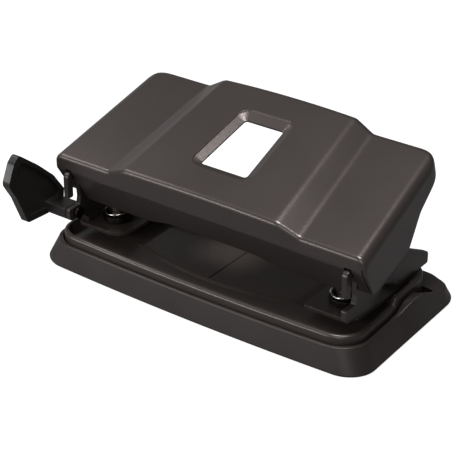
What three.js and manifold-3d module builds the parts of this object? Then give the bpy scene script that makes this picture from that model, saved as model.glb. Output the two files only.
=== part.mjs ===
// Two-hole paper punch: a pressed-steel base in a clip-on chip tray, two punch stations,
// and a folded sheet-steel lever that hooks onto two side frames at its front edge.
// Millimetres, +Z up, +Y away from the paper side. The origin is on the table,
// midway between the two punches.
import * as THREE from 'three';
import { mergeVertices } from 'three/addons/utils/BufferGeometryUtils.js';
import Module from 'manifold-3d';

const wasm = await Module();
wasm.setup();

// Punching layout
const HOLE_SPACING = 80;
const PIN_DIAMETER = 5.5;
const RUNNING_GAP = 0.3;
const SEAT_GAP = 0.3;
const PAPER_DEPTH = 10.9;
const PAPER_SLOT = 1.8;

// Chip tray
const TRAY_HALF_WIDTH = 56.6;
const TRAY_HALF_WIDTH_REAR = 54.0;
const TRAY_FRONT = 19.6;
const TRAY_REAR = 38.5;
const TRAY_CORNER = 7.5;
const TRAY_BOW = 1.7;
const TRAY_WALL = 1.7;
const TRAY_RIM_HEIGHT = 8.7;
const TRAY_REAR_HEIGHT = 4.9;
const TRAY_FLARE = 0.5;
const TRAY_LIP = 1.6;
const TRAY_HINGE_FROM_FRONT = 1.0;
const TRAY_HINGE_BELOW_RIM = 0.7;
const HINGE_TONGUE_WIDTH = 8;
const HINGE_TONGUE_SPACING = 50;
const HINGE_TONGUE_SHEET = 1.3;
const HINGE_TONGUE_REACH = 2.2;

// Pressed base plate
const PLATE_HALF_WIDTH = 52.2;
const PLATE_HALF_WIDTH_REAR = 50.2;
const PLATE_FRONT = 17.0;
const PLATE_REAR = 28.6;
const PLATE_CORNER = 8;
const PLATE_BOW = 1.6;
const PLATE_SHEET = 1.2;
const PLATE_RIM_HEIGHT = 10.2;
const PLATE_RIM_REAR_HEIGHT = 12.4;
const PLATE_RIM_STEP = 0.9;
const PLATE_RIM_WIDTH = 1.7;
const PLATE_RIM_SLOPE = 0.8;
const PAPER_FLOOR_HEIGHT = 8.4;
const PANEL_HEIGHT = 0.6;
const PANEL_HALF_WIDTH = 30;
const PANEL_FRONT = 9.7;
const PANEL_BOW = 5.2;
const PANEL_BEVEL = 3.5;
const CENTRE_MARK_WIDTH = 0.45;
const CENTRE_MARK_DEPTH = 0.3;

// Punch stations
const GUIDE_WIDTH = 16.4;
const GUIDE_SHEET = 1.1;
const GUIDE_FRONT = 8.4;
const GUIDE_REAR = 21;
const GUIDE_CORNER = 5.5;
const GUIDE_SMALL_CORNER = 1;
const BUSH_BODY = 7.8;
const BUSH_FLANGE = 9.2;
const BUSH_FLANGE_THICKNESS = 0.5;
const DIE_DIAMETER = 9;
const DIE_DEPTH = 3;
const DIE_LIP = 0.9;
const PIN_HEAD_TOP = 28;
const PIN_HEAD_DIAMETER = 8;
const PIN_HEAD_HEIGHT = 1.7;
const WASHER_DIAMETER = 9.4;
const WASHER_THICKNESS = 0.6;
const SPRING_DIAMETER = 8.1;
const SPRING_WIRE = 0.9;
const SPRING_END_PITCH = 1.1;
const SPRING_OPEN_TURNS = 3;
const SPRING_CLEARANCE = 0.15;

// Side frames
const FRAME_SHEET = 2.0;
const FRAME_INNER_X = 47.2;
const FRAME_PAD = 1.6;
const HOOK_LEG = 1.5;
const HOOK_NECK = 1.6;
const HOOK_LEG_BOTTOM = 20;
const BLOCK_FRONT = 13.4;
const BLOCK_TOP = 17.2;
const BLOCK_BOTTOM = 13.3;
const BAND_BOTTOM = 13.7;
const FOOT_WIDTH = 8;
const FOOT_SHEET = 1.5;
const RIVET_DIAMETER = 3;
const RIVET_HEAD = 5;
const RIVET_HEAD_HEIGHT = 1.1;
const RIVET_Y = 17;

// Lever
const LEVER_HALF_WIDTH = 50.6;
const LEVER_SHEET = 0.9;
const LEVER_EDGE = 3;
const LEVER_SLOPE = 0.315;
const LEVER_FRONT_HEIGHT = 33.6;
const LEVER_STEP = 3.3;
const LEVER_CROWN = 1.5;
const LEVER_REAR_FLANGE = 6.6;
const FOLD_OUTER_FRONT = 32;
const FOLD_OUTER_REAR = 28.2;
const FOLD_INNER_FRONT = 25.3;
const FOLD_INNER_REAR = 22.5;
const PIVOT_Y = -12.3;
const PIVOT_Z = 28.1;
const WINDOW_FRONT = -3.6;
const WINDOW_REAR = 17.8;
const WINDOW_HALF_FRONT = 10;
const WINDOW_HALF_REAR = 8.2;
const WINDOW_CORNER = 2.6;
const WINDOW_BEVEL = 1.4;
const WINDOW_COLLAR = 3.6;
const HOOK_SLOT_CLEARANCE = 0.4;
const SKIRT_BRIDGE = 2.4;

// Press brackets under the lever
const BRACKET_WIDTH = 9;
const BRACKET_SHEET = 1.5;
const BRACKET_NOSE = 3;

// Paper guide on the left side
const GUIDE_ARM_START = 51.2;
const GUIDE_ARM_END = 56.5;
const PADDLE_SHEET = 2.6;
const GUIDE_PIVOT_Y = -10.2;
const GUIDE_PIVOT_Z = 15.3;
const PIVOT_PIN_DIAMETER = 2.4;
const PIVOT_PIN_HEAD = 3.4;
const PIVOT_PIN_HEAD_THICKNESS = 0.9;

// Worked-out places
const punchX = HOLE_SPACING / 2;
const pinRadius = PIN_DIAMETER / 2;
const boreRadius = pinRadius + RUNNING_GAP;
const sunkFloor = PAPER_FLOOR_HEIGHT - PANEL_HEIGHT;
const guideBottom = PAPER_FLOOR_HEIGHT + PAPER_SLOT;
const guideTop = guideBottom + GUIDE_SHEET;
const deckTop = guideBottom - SEAT_GAP;
const tongueTop = sunkFloor - PLATE_SHEET - SEAT_GAP;
const bushFlangeBottom = guideTop + SEAT_GAP;
const bushTop = bushFlangeBottom + BUSH_FLANGE_THICKNESS;
const frameOuterX = FRAME_INNER_X + FRAME_SHEET;
const footBottom = guideTop + SEAT_GAP;

const paint = new THREE.MeshStandardMaterial({ color: 0x5a5351, roughness: 0.38, metalness: 0.6 });
const basePaint = new THREE.MeshStandardMaterial({ color: 0x4a4442, roughness: 0.4, metalness: 0.55 });
const plastic = new THREE.MeshStandardMaterial({ color: 0x3a3533, roughness: 0.45, metalness: 0 });
const brightSteel = new THREE.MeshStandardMaterial({ color: 0xc9c9c9, roughness: 0.22, metalness: 1 });
const dullSteel = new THREE.MeshStandardMaterial({ color: 0x6d6c6c, roughness: 0.4, metalness: 1 });

const punch = new THREE.Group();

function addNode(name, geometry, material) {
  const mesh = new THREE.Mesh(geometry, material.clone());
  mesh.name = name;
  punch.add(mesh);
  return mesh;
}

// ---- geometry helpers ----

function toSolid(source) {
  let geometry = source.index ? source.toNonIndexed() : source.clone();
  geometry.deleteAttribute('normal');
  geometry.deleteAttribute('uv');
  geometry = mergeVertices(geometry, 1e-4);
  const mesh = new wasm.Mesh({
    numProp: 3,
    vertProperties: new Float32Array(geometry.attributes.position.array),
    triVerts: new Uint32Array(geometry.index.array),
  });
  return new wasm.Manifold(mesh);
}

function toGeometry(solid) {
  const mesh = solid.getMesh();
  const geometry = new THREE.BufferGeometry();
  geometry.setAttribute('position', new THREE.BufferAttribute(new Float32Array(mesh.vertProperties), 3));
  geometry.setIndex(new THREE.BufferAttribute(new Uint32Array(mesh.triVerts), 1));
  const flat = geometry.toNonIndexed();
  flat.computeVertexNormals();
  return flat;
}

function join(...geometries) {
  return geometries.map(toSolid).reduce((sum, next) => sum.add(next));
}

// Moves each edge of a closed outline inwards by its own distance. The outline runs anticlockwise.
function insetOutline(points, distances) {
  const count = points.length;
  const lines = points.map((from, i) => {
    const to = points[(i + 1) % count];
    const along = to.clone().sub(from).normalize();
    const inward = new THREE.Vector2(-along.y, along.x);
    const distance = Array.isArray(distances) ? distances[i] : distances;
    return { start: from.clone().addScaledVector(inward, distance), along };
  });
  return points.map((_, i) => {
    const before = lines[(i + count - 1) % count];
    const after = lines[i];
    const cross = before.along.x * after.along.y - before.along.y * after.along.x;
    if (Math.abs(cross) < 1e-9) {
      return after.start.clone();
    }
    const offset = after.start.clone().sub(before.start);
    const t = (offset.x * after.along.y - offset.y * after.along.x) / cross;
    return before.start.clone().addScaledVector(before.along, t);
  });
}

// Rounds the corners of an outline with arcs and splits its straight edges evenly.
function roundOutline(points, radii, arcSteps, edgeSteps = 1) {
  const count = points.length;
  const arcs = points.map((corner, i) => {
    const back = points[(i + count - 1) % count].clone().sub(corner).normalize();
    const ahead = points[(i + 1) % count].clone().sub(corner).normalize();
    const radius = Array.isArray(radii) ? radii[i] : radii;
    const half = Math.acos(THREE.MathUtils.clamp(back.dot(ahead), -1, 1)) / 2;
    if (radius <= 0 || half > Math.PI / 2 - 1e-6) {
      return Array.from({ length: arcSteps + 1 }, () => corner.clone());
    }
    const middle = back.clone().add(ahead).normalize().multiplyScalar(radius / Math.sin(half));
    const centre = corner.clone().add(middle);
    const start = corner.clone().addScaledVector(back, radius / Math.tan(half)).sub(centre);
    const turn = (Math.PI - 2 * half) * Math.sign(back.cross(ahead)) * -1;
    return Array.from({ length: arcSteps + 1 }, (_, k) =>
      start.clone().rotateAround(new THREE.Vector2(), (turn * k) / arcSteps).add(centre));
  });
  const loop = [];
  arcs.forEach((arc, i) => {
    loop.push(...arc);
    const next = arcs[(i + 1) % count][0];
    for (let k = 1; k < edgeSteps; k += 1) {
      loop.push(arc[arcSteps].clone().lerp(next, k / edgeSteps));
    }
  });
  return loop;
}

// Skins a row of closed rings with equal point counts and closes both ends.
// Seen from the far end, the rings run anticlockwise.
function loft(rings, flatten) {
  const count = rings[0].length;
  const vertices = rings.flat();
  const triangles = [];
  for (let r = 0; r < rings.length - 1; r += 1) {
    for (let i = 0; i < count; i += 1) {
      const a = r * count + i;
      const b = r * count + ((i + 1) % count);
      triangles.push([a, b, b + count], [a, b + count, a + count]);
    }
  }
  const cap = (ring) => THREE.ShapeUtils.triangulateShape(ring.map(flatten), []);
  const last = (rings.length - 1) * count;
  cap(rings[0]).forEach(([a, b, c]) => triangles.push([a, c, b]));
  cap(rings[rings.length - 1]).forEach(([a, b, c]) => triangles.push([last + a, last + b, last + c]));
  const positions = triangles.flat().flatMap((index) => vertices[index].toArray());
  const geometry = new THREE.BufferGeometry();
  geometry.setAttribute('position', new THREE.Float32BufferAttribute(positions, 3));
  geometry.computeVertexNormals();
  return geometry;
}

const fromAbove = (v) => new THREE.Vector2(v.x, v.y);
const fromRight = (v) => new THREE.Vector2(v.y, v.z);

// A plate in the YZ plane between two X values, with optional holes.
function plateAcross(outline, fromX, toX, holes = []) {
  const shape = new THREE.Shape(outline);
  shape.holes.push(...holes.map((hole) => new THREE.Path(hole)));
  const geometry = new THREE.ExtrudeGeometry(shape, { depth: toX - fromX, bevelEnabled: false });
  geometry.applyMatrix4(new THREE.Matrix4().makeBasis(
    new THREE.Vector3(0, 1, 0), new THREE.Vector3(0, 0, 1), new THREE.Vector3(1, 0, 0)));
  geometry.translate(fromX, 0, 0);
  return geometry;
}

// A flat plate between two heights.
function plateFlat(outline, fromZ, toZ) {
  const geometry = new THREE.ExtrudeGeometry(new THREE.Shape(outline), { depth: toZ - fromZ, bevelEnabled: false });
  geometry.translate(0, 0, fromZ);
  return geometry;
}

function box(fromX, toX, fromY, toY, fromZ, toZ) {
  const geometry = new THREE.BoxGeometry(toX - fromX, toY - fromY, toZ - fromZ);
  geometry.translate((fromX + toX) / 2, (fromY + toY) / 2, (fromZ + toZ) / 2);
  return geometry;
}

// A turned piece about a vertical axis, from [radius, height] pairs.
function turned(profile, x, y, segments = 32) {
  const points = profile.map(([radius, height]) => new THREE.Vector2(radius, height));
  const geometry = new THREE.LatheGeometry(points, segments);
  geometry.rotateX(Math.PI / 2);
  geometry.translate(x, y, 0);
  return geometry;
}

function rod(radius, fromZ, toZ, x, y, segments = 32) {
  return turned([[0, fromZ], [radius, fromZ], [radius, toZ], [0, toZ]], x, y, segments);
}

function rodAcross(radius, fromX, toX, y, z, segments = 24) {
  const geometry = new THREE.CylinderGeometry(radius, radius, toX - fromX, segments);
  geometry.rotateZ(Math.PI / 2);
  geometry.translate((fromX + toX) / 2, y, z);
  return geometry;
}

// The centre line of a folded strip, thickened into a closed outline.
function stripOutline(line, thickness) {
  const side = (sign) => line.map((point, i) => {
    const before = line[Math.max(i - 1, 0)];
    const after = line[Math.min(i + 1, line.length - 1)];
    const first = point === before ? after.clone().sub(point) : point.clone().sub(before);
    const second = point === after ? first : after.clone().sub(point);
    const a = first.normalize();
    const b = second.clone().normalize();
    const middle = a.clone().add(b).normalize();
    const reach = (thickness / 2) / Math.max(middle.dot(a), 0.4);
    return point.clone().add(new THREE.Vector2(-middle.y, middle.x).multiplyScalar(sign * reach));
  });
  return [...side(-1), ...side(1).reverse()];
}

const v2 = (x, y) => new THREE.Vector2(x, y);
const mirrorX = (geometry) => {
  const mirrored = geometry.clone();
  mirrored.scale(-1, 1, 1);
  const position = mirrored.attributes.position;
  for (let i = 0; i < position.count; i += 3) {
    const second = new THREE.Vector3().fromBufferAttribute(position, i + 1);
    const third = new THREE.Vector3().fromBufferAttribute(position, i + 2);
    position.setXYZ(i + 1, ...third.toArray());
    position.setXYZ(i + 2, ...second.toArray());
  }
  mirrored.computeVertexNormals();
  return mirrored;
};

// ---- chip tray and base plate ----

// A plan outline with rounded corners, slightly narrower at the rear and bowed out at the front.
function planLoop({ half, halfRear, front, rear, corner, bow }, inset, z) {
  const corners = insetOutline([v2(-half, -front), v2(half, -front), v2(halfRear, rear), v2(-halfRear, rear)], inset);
  const loop = roundOutline(corners, Math.max(corner - inset, 0.6), 8, 12);
  return loop.map((point) => {
    const weight = THREE.MathUtils.clamp(-point.y / front, 0, 1);
    const y = point.y + bow * (point.x / half) ** 2 * weight;
    return new THREE.Vector3(point.x, y, typeof z === 'function' ? z(y) : z);
  });
}

const trayPlan = { half: TRAY_HALF_WIDTH, halfRear: TRAY_HALF_WIDTH_REAR, front: TRAY_FRONT,
  rear: TRAY_REAR, corner: TRAY_CORNER, bow: TRAY_BOW };
const platePlan = { half: PLATE_HALF_WIDTH, halfRear: PLATE_HALF_WIDTH_REAR, front: PLATE_FRONT,
  rear: PLATE_REAR, corner: PLATE_CORNER, bow: PLATE_BOW };
const wellPlan = { half: PLATE_HALF_WIDTH + 1.9, halfRear: PLATE_HALF_WIDTH_REAR + 1.4,
  front: PLATE_FRONT + 1.1, rear: PLATE_REAR + 1.5, corner: PLATE_CORNER + 1.2, bow: PLATE_BOW };

const trayEdge = (y) => THREE.MathUtils.lerp(TRAY_RIM_HEIGHT, TRAY_REAR_HEIGHT,
  THREE.MathUtils.smoothstep(y, PAPER_DEPTH, PLATE_REAR + 3));
const trayHingeY = -TRAY_FRONT + TRAY_HINGE_FROM_FRONT;
const trayHingeZ = TRAY_RIM_HEIGHT - TRAY_HINGE_BELOW_RIM;

function chipTray() {
  const below = (drop) => (y) => trayEdge(y) - drop;
  const rings = [
    planLoop(trayPlan, 1, 0),
    planLoop(trayPlan, 0, 0.9),
    planLoop(trayPlan, -TRAY_FLARE, below(1.4)),
    planLoop(trayPlan, -TRAY_FLARE + 0.5, below(0.4)),
    planLoop(trayPlan, -TRAY_FLARE + 1.4, below(0)),
    planLoop(wellPlan, 0, TRAY_RIM_HEIGHT),
    planLoop(wellPlan, 0, TRAY_RIM_HEIGHT - TRAY_LIP),
    planLoop(trayPlan, TRAY_WALL, below(TRAY_LIP + 0.9)),
    planLoop(trayPlan, TRAY_WALL + 0.3, TRAY_WALL),
  ];
  const shell = toSolid(loft(rings, fromAbove));
  const tongues = [-1, 1].flatMap((side) => {
    const x = (side * HINGE_TONGUE_SPACING) / 2;
    const half = HINGE_TONGUE_WIDTH / 2;
    const wallFace = -PLATE_FRONT - SEAT_GAP;
    return [
      box(x - half, x + half, wallFace - 1.6, wallFace, tongueTop - HINGE_TONGUE_SHEET, TRAY_RIM_HEIGHT - 0.8),
      box(x - half, x + half, wallFace - 1.6, -PLATE_FRONT + HINGE_TONGUE_REACH, tongueTop - HINGE_TONGUE_SHEET, tongueTop),
    ];
  });
  return toGeometry(tongues.map(toSolid).reduce((sum, tongue) => sum.add(tongue), shell));
}

const plateRim = (y) => {
  const step = PLATE_RIM_STEP * THREE.MathUtils.smoothstep(y, PAPER_DEPTH - 2, PAPER_DEPTH);
  const rise = THREE.MathUtils.clamp((y - PAPER_DEPTH) / (PLATE_REAR - PAPER_DEPTH), 0, 1);
  return PLATE_RIM_HEIGHT + step + (PLATE_RIM_REAR_HEIGHT - PLATE_RIM_HEIGHT - PLATE_RIM_STEP) * rise;
};

// The pan seen from above: a turned-down edge, a raised rim bead and a sunk floor.
function panOutside() {
  const below = (drop) => (y) => plateRim(y) - drop;
  return toSolid(loft([
    planLoop(platePlan, 0, TRAY_WALL + SEAT_GAP),
    planLoop(platePlan, 0, below(1.2)),
    planLoop(platePlan, 0.35, below(0.35)),
    planLoop(platePlan, 1, below(0)),
    planLoop(platePlan, PLATE_RIM_WIDTH, below(0.1)),
    planLoop(platePlan, PLATE_RIM_WIDTH + PLATE_RIM_SLOPE, sunkFloor),
  ], fromAbove));
}

// The hollow under the floor.
function panInside() {
  return toSolid(loft([
    planLoop(platePlan, PLATE_SHEET, TRAY_WALL - 1),
    planLoop(platePlan, PLATE_SHEET, sunkFloor - PLATE_SHEET),
  ], fromAbove));
}

// The part of the pan behind the paper stop, raised to carry the guide plates.
function rearDeck(sheet, top) {
  const inset = PLATE_RIM_WIDTH + 0.6 + sheet * 1.5;
  const bottom = sunkFloor - PLATE_SHEET - (sheet > 0 ? 1 : 0);
  const outline = planLoop(platePlan, inset, 0).map(fromAbove);
  const whole = toSolid(plateFlat(outline, bottom, top));
  const behindStop = box(-PLATE_HALF_WIDTH, PLATE_HALF_WIDTH, PAPER_DEPTH + sheet, PLATE_REAR + 1, bottom - 1, top + 1);
  return whole.intersect(toSolid(behindStop));
}

function centrePanel() {
  const outline = (inset, sideInset, z) => {
    const half = PANEL_HALF_WIDTH - sideInset;
    const loop = [new THREE.Vector3(half, PAPER_DEPTH + 1, z), new THREE.Vector3(-half, PAPER_DEPTH + 1, z)];
    for (let k = 0; k <= 24; k += 1) {
      const x = THREE.MathUtils.lerp(-half, half, k / 24);
      loop.push(new THREE.Vector3(x, -PANEL_FRONT + inset + PANEL_BOW * (x / PANEL_HALF_WIDTH) ** 2, z));
    }
    return loop;
  };
  return toSolid(loft([
    outline(0, 0, sunkFloor - 0.6),
    outline(0, 0, sunkFloor),
    outline(1.4, PANEL_BEVEL, PAPER_FLOOR_HEIGHT),
  ], fromAbove));
}

const rivetPlaces = [-1, 1].flatMap((side) => [punchX - 4.5, punchX + 4.5].map((x) => [side * x, RIVET_Y]));

function basePlate() {
  let plate = panOutside()
    .add(rearDeck(0, deckTop))
    .add(centrePanel())
    .subtract(panInside())
    .subtract(rearDeck(PLATE_SHEET, deckTop - PLATE_SHEET));
  const mark = box(-CENTRE_MARK_WIDTH / 2, CENTRE_MARK_WIDTH / 2, -PANEL_FRONT + 1.4, PAPER_DEPTH - 0.3,
    PAPER_FLOOR_HEIGHT - CENTRE_MARK_DEPTH, PAPER_FLOOR_HEIGHT + 1);
  const cuts = [mark];
  for (const side of [-1, 1]) {
    cuts.push(rod(DIE_DIAMETER / 2 + SEAT_GAP, 0, deckTop, side * punchX, 0));
    const x = (side * HINGE_TONGUE_SPACING) / 2;
    const half = HINGE_TONGUE_WIDTH / 2 + 0.5;
    cuts.push(box(x - half, x + half, -PLATE_FRONT - 1, -PLATE_FRONT + PLATE_SHEET + 0.6,
      0, sunkFloor - PLATE_SHEET));
  }
  for (const [x, y] of rivetPlaces) {
    cuts.push(rod(RIVET_DIAMETER / 2 + SEAT_GAP, 0, deckTop + 1, x, y, 20));
  }
  cuts.forEach((cut) => {
    plate = plate.subtract(toSolid(cut));
  });
  return toGeometry(plate);
}

// ---- punch stations ----

function guidePlate(x) {
  const half = GUIDE_WIDTH / 2;
  const corners = [v2(x - half, -GUIDE_FRONT), v2(x + half, -GUIDE_FRONT), v2(x + half, GUIDE_REAR), v2(x - half, GUIDE_REAR)];
  const outline = roundOutline(corners, [GUIDE_SMALL_CORNER, GUIDE_CORNER, GUIDE_SMALL_CORNER, GUIDE_SMALL_CORNER], 8);
  let plate = toSolid(plateFlat(outline, guideBottom, guideTop));
  plate = plate.subtract(toSolid(rod(BUSH_BODY / 2 + RUNNING_GAP, 0, guideTop + 1, x, 0)));
  for (const [rivetX, rivetY] of rivetPlaces) {
    plate = plate.subtract(toSolid(rod(RIVET_DIAMETER / 2 + SEAT_GAP, 0, guideTop + 1, rivetX, rivetY, 20)));
  }
  return toGeometry(plate);
}

function guideBush(x) {
  const bottom = guideBottom + 0.1;
  return turned([[boreRadius, bottom], [BUSH_BODY / 2, bottom], [BUSH_BODY / 2, bushFlangeBottom],
    [BUSH_FLANGE / 2, bushFlangeBottom], [BUSH_FLANGE / 2, bushTop - 0.15], [BUSH_FLANGE / 2 - 0.15, bushTop],
    [boreRadius + 0.3, bushTop], [boreRadius, bushTop - 0.3], [boreRadius, bottom]], x, 0);
}

function dieRing(x) {
  const top = PAPER_FLOOR_HEIGHT;
  const outer = DIE_DIAMETER / 2;
  return turned([[boreRadius + 0.4, top - DIE_DEPTH], [outer, top - DIE_DEPTH], [outer, sunkFloor + SEAT_GAP],
    [outer + DIE_LIP, sunkFloor + SEAT_GAP], [outer + DIE_LIP - 0.3, top], [boreRadius, top],
    [boreRadius, top - 1.6], [boreRadius + 0.4, top - 1.9], [boreRadius + 0.4, top - DIE_DEPTH]], x, 0);
}

const pinHeadBottom = PIN_HEAD_TOP - PIN_HEAD_HEIGHT;
const washerBottom = pinHeadBottom - SEAT_GAP - WASHER_THICKNESS;

function punchPin(x) {
  const tip = guideBottom + 0.4;
  const head = PIN_HEAD_DIAMETER / 2;
  const profile = [[0, tip + 0.8], [pinRadius - 0.25, tip], [pinRadius, tip + 0.1], [pinRadius, pinHeadBottom],
    [head, pinHeadBottom], [head, pinHeadBottom + 0.5]];
  for (let k = 1; k <= 5; k += 1) {
    const angle = (k / 5) * (Math.PI / 2);
    profile.push([head * Math.cos(angle), pinHeadBottom + 0.5 + (PIN_HEAD_HEIGHT - 0.5) * Math.sin(angle)]);
  }
  profile[profile.length - 1][0] = 0;
  return turned(profile, x, 0);
}

function springWasher(x) {
  const outer = WASHER_DIAMETER / 2;
  const top = washerBottom + WASHER_THICKNESS;
  return turned([[boreRadius, washerBottom], [outer - 0.15, washerBottom], [outer, washerBottom + 0.15],
    [outer, top - 0.15], [outer - 0.15, top], [boreRadius, top], [boreRadius, washerBottom]], x, 0);
}

// A compression spring with one closed turn at each end.
class SpringPath extends THREE.Curve {
  constructor(x, radius, bottom, top) {
    super();
    Object.assign(this, { x, radius, bottom, top, turns: SPRING_OPEN_TURNS + 2 });
  }

  getPoint(t, target = new THREE.Vector3()) {
    const turn = t * this.turns;
    const openPitch = (this.top - this.bottom - 2 * SPRING_END_PITCH) / SPRING_OPEN_TURNS;
    const closed = Math.min(turn, 1) + Math.max(turn - this.turns + 1, 0);
    const open = THREE.MathUtils.clamp(turn - 1, 0, SPRING_OPEN_TURNS);
    const angle = turn * 2 * Math.PI - Math.PI / 2;
    return target.set(this.x + this.radius * Math.cos(angle), this.radius * Math.sin(angle),
      this.bottom + closed * SPRING_END_PITCH + open * openPitch);
  }
}

function punchSpring(x) {
  const wire = SPRING_WIRE / 2;
  const path = new SpringPath(x, SPRING_DIAMETER / 2, bushTop + SPRING_CLEARANCE + wire,
    washerBottom - SPRING_CLEARANCE - wire);
  const section = new THREE.Shape(Array.from({ length: 8 }, (_, k) =>
    v2(wire * Math.cos((k * Math.PI) / 4), wire * Math.sin((k * Math.PI) / 4))));
  return new THREE.ExtrudeGeometry(section, { steps: (SPRING_OPEN_TURNS + 2) * 18, extrudePath: path });
}

function rivet([x, y]) {
  const head = RIVET_HEAD / 2;
  const shank = RIVET_DIAMETER / 2;
  const onFoot = Math.abs(x) > punchX;
  const headBottom = (onFoot ? footBottom + FOOT_SHEET : guideTop) + SEAT_GAP;
  const headTop = headBottom + RIVET_HEAD_HEIGHT;
  const tailTop = deckTop - PLATE_SHEET - SEAT_GAP;
  return turned([[0, tailTop - 0.8], [head * 0.7, tailTop - 0.7], [head * 0.8, tailTop], [shank, tailTop],
    [shank, headBottom], [head, headBottom], [head * 0.8, headTop - 0.3], [head * 0.4, headTop], [0, headTop]], x, y, 20);
}

// ---- side frames ----

// Right-hand frame in the YZ plane: foot, front block, hooked neck at the front of the lever,
// upright, lower band with an arch, and a rear tab.
function sideFrame() {
  const neckTop = PIVOT_Z + HOOK_NECK / 2;
  const neckBottom = PIVOT_Z - HOOK_NECK / 2;
  const legFront = PIVOT_Y - 1.8;
  const outline = [
    v2(-2.2, BLOCK_BOTTOM), v2(-2.2, footBottom), v2(-7.4, footBottom), v2(-7.4, BLOCK_BOTTOM),
    v2(-BLOCK_FRONT, BLOCK_BOTTOM), v2(-BLOCK_FRONT, BLOCK_TOP), v2(-6.2, BLOCK_TOP),
    v2(-3.4, BLOCK_TOP + 2.8), v2(-9.3, neckBottom), v2(legFront + HOOK_LEG, neckBottom),
    v2(legFront + HOOK_LEG, HOOK_LEG_BOTTOM), v2(legFront, HOOK_LEG_BOTTOM), v2(legFront, neckTop),
    v2(-9, neckTop), v2(-6, 31.2), v2(-1.5, 31.2), v2(3, 24), v2(15.6, 23.4), v2(25.9, 17.6),
    v2(26.4, 14.4), v2(25.1, BAND_BOTTOM), v2(21.6, BAND_BOTTOM), v2(21.6, footBottom), v2(12.4, footBottom),
    v2(12.4, BAND_BOTTOM), v2(9.2, BAND_BOTTOM), v2(6.6, 16.6), v2(2.6, 17.4), v2(-0.2, 15.6), v2(-0.9, BLOCK_BOTTOM),
  ];
  const radii = [0, 0, 0, 0, 1.3, 0.5, 1.5, 1.2, 0, 0.3, 0, 0.3, 1.2, 2, 1.5, 1.5, 2, 3, 1.2, 0.8, 0.4,
    0, 0, 0, 0, 0.5, 2, 1.6, 1, 0.5];
  const smooth = roundOutline(outline.slice().reverse(), radii.slice().reverse(), 4)
    .filter((point, i, all) => point.distanceTo(all[(i + 1) % all.length]) > 1e-3);
  let frame = toSolid(plateAcross(smooth, FRAME_INNER_X, frameOuterX));
  const pad = roundOutline([v2(-BLOCK_FRONT, BLOCK_BOTTOM), v2(-9.2, BLOCK_BOTTOM), v2(-9.2, BLOCK_TOP),
    v2(-BLOCK_FRONT, BLOCK_TOP)], [1.3, 0.4, 0.4, 0.5], 4);
  frame = frame.add(toSolid(plateAcross(pad, frameOuterX - 0.5, frameOuterX + FRAME_PAD)));
  frame = frame.add(toSolid(box(FRAME_INNER_X - 2.2, FRAME_INNER_X + 0.5, -7.4, -2.2, footBottom, footBottom + FOOT_SHEET)));
  frame = frame.add(toSolid(box(FRAME_INNER_X - FOOT_WIDTH + 2, FRAME_INNER_X + 0.5, 12.4, 21.6,
    footBottom, footBottom + FOOT_SHEET)));
  frame = frame.subtract(toSolid(rod(RIVET_DIAMETER / 2 + SEAT_GAP, 0, footBottom + FOOT_SHEET + 1,
    punchX + 4.5, RIVET_Y, 20)));
  const rimInnerX = PLATE_HALF_WIDTH_REAR - PLATE_RIM_WIDTH - SEAT_GAP;
  const rimClearance = box(rimInnerX, frameOuterX + 1, 10, 23, footBottom - 1, PLATE_RIM_REAR_HEIGHT + SEAT_GAP);
  return frame.subtract(toSolid(rimClearance));
}

function leftFrame(rightFrame) {
  const hole = rodAcross(PIVOT_PIN_DIAMETER / 2 + SEAT_GAP, -frameOuterX - FRAME_PAD - 1, -FRAME_INNER_X + 1,
    GUIDE_PIVOT_Y, GUIDE_PIVOT_Z);
  return toGeometry(toSolid(mirrorX(toGeometry(rightFrame))).subtract(toSolid(hole)));
}

// ---- lever ----

// One YZ section of the hood. The spread tells how far the section lies towards the middle:
// 0 on the side plateaus, 1 on the raised centre.
function leverSection({ spread, crown, lift, rearward }, inset) {
  const topAt = (y) => LEVER_FRONT_HEIGHT + (y + 12.5) * LEVER_SLOPE + spread * LEVER_STEP + crown;
  const frontY = -12.5 - 1.5 * spread - crown * 0.5;
  const rearY = 26.5 + 4 * rearward;
  const skirtBottom = v2(-6 + 1.4 * lift, 18.5 + 1.9 * lift);
  const corners = [
    skirtBottom, v2(-3.4, 17.9 + 1.9 * lift), v2(15.6, 23.6), v2(19.4, 30.6), v2(23.4, 35.9),
    v2(rearY + 2.8, topAt(rearY) - LEVER_REAR_FLANGE), v2(rearY, topAt(rearY)), v2(frontY, topAt(frontY)), v2(-12.4, 28.3),
  ];
  const moved = insetOutline(corners, [0, 0, 0, 0, 0, inset, inset, inset, inset]);
  return roundOutline(moved, [0.3, 0.8, 1.5, 4, 3, 1, 2.4, 1.8, 2.5], 3);
}

// The hollow under the hood: the same section, moved in by the sheet and left open below and behind.
function hollowSection(station, inset) {
  const section = leverSection({ ...station }, 0);
  const topAt = (y) => LEVER_FRONT_HEIGHT + (y + 12.5) * LEVER_SLOPE + station.spread * LEVER_STEP + station.crown;
  const frontY = -12.5 - 1.5 * station.spread - station.crown * 0.5;
  const rearY = 26.5 + 4 * station.rearward;
  const skirtBottom = v2(-6 + 1.4 * station.lift, 18.5 + 1.9 * station.lift);
  const kink = v2(-12.4, 28.3);
  const below = skirtBottom.clone().add(skirtBottom.clone().sub(kink).multiplyScalar(0.8));
  const flangeZ = topAt(rearY) - LEVER_REAR_FLANGE;
  const corners = [below, v2(section[0].x + 70, below.y), v2(section[0].x + 70, flangeZ),
    v2(rearY + 2.8, flangeZ), v2(rearY, topAt(rearY)), v2(frontY, topAt(frontY)), kink];
  const moved = insetOutline(corners, [0, 0, 0, inset, inset, inset, inset]);
  return roundOutline(moved, [0, 0, 0, 0, 1.6, 1, 1.8], 3);
}

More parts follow.
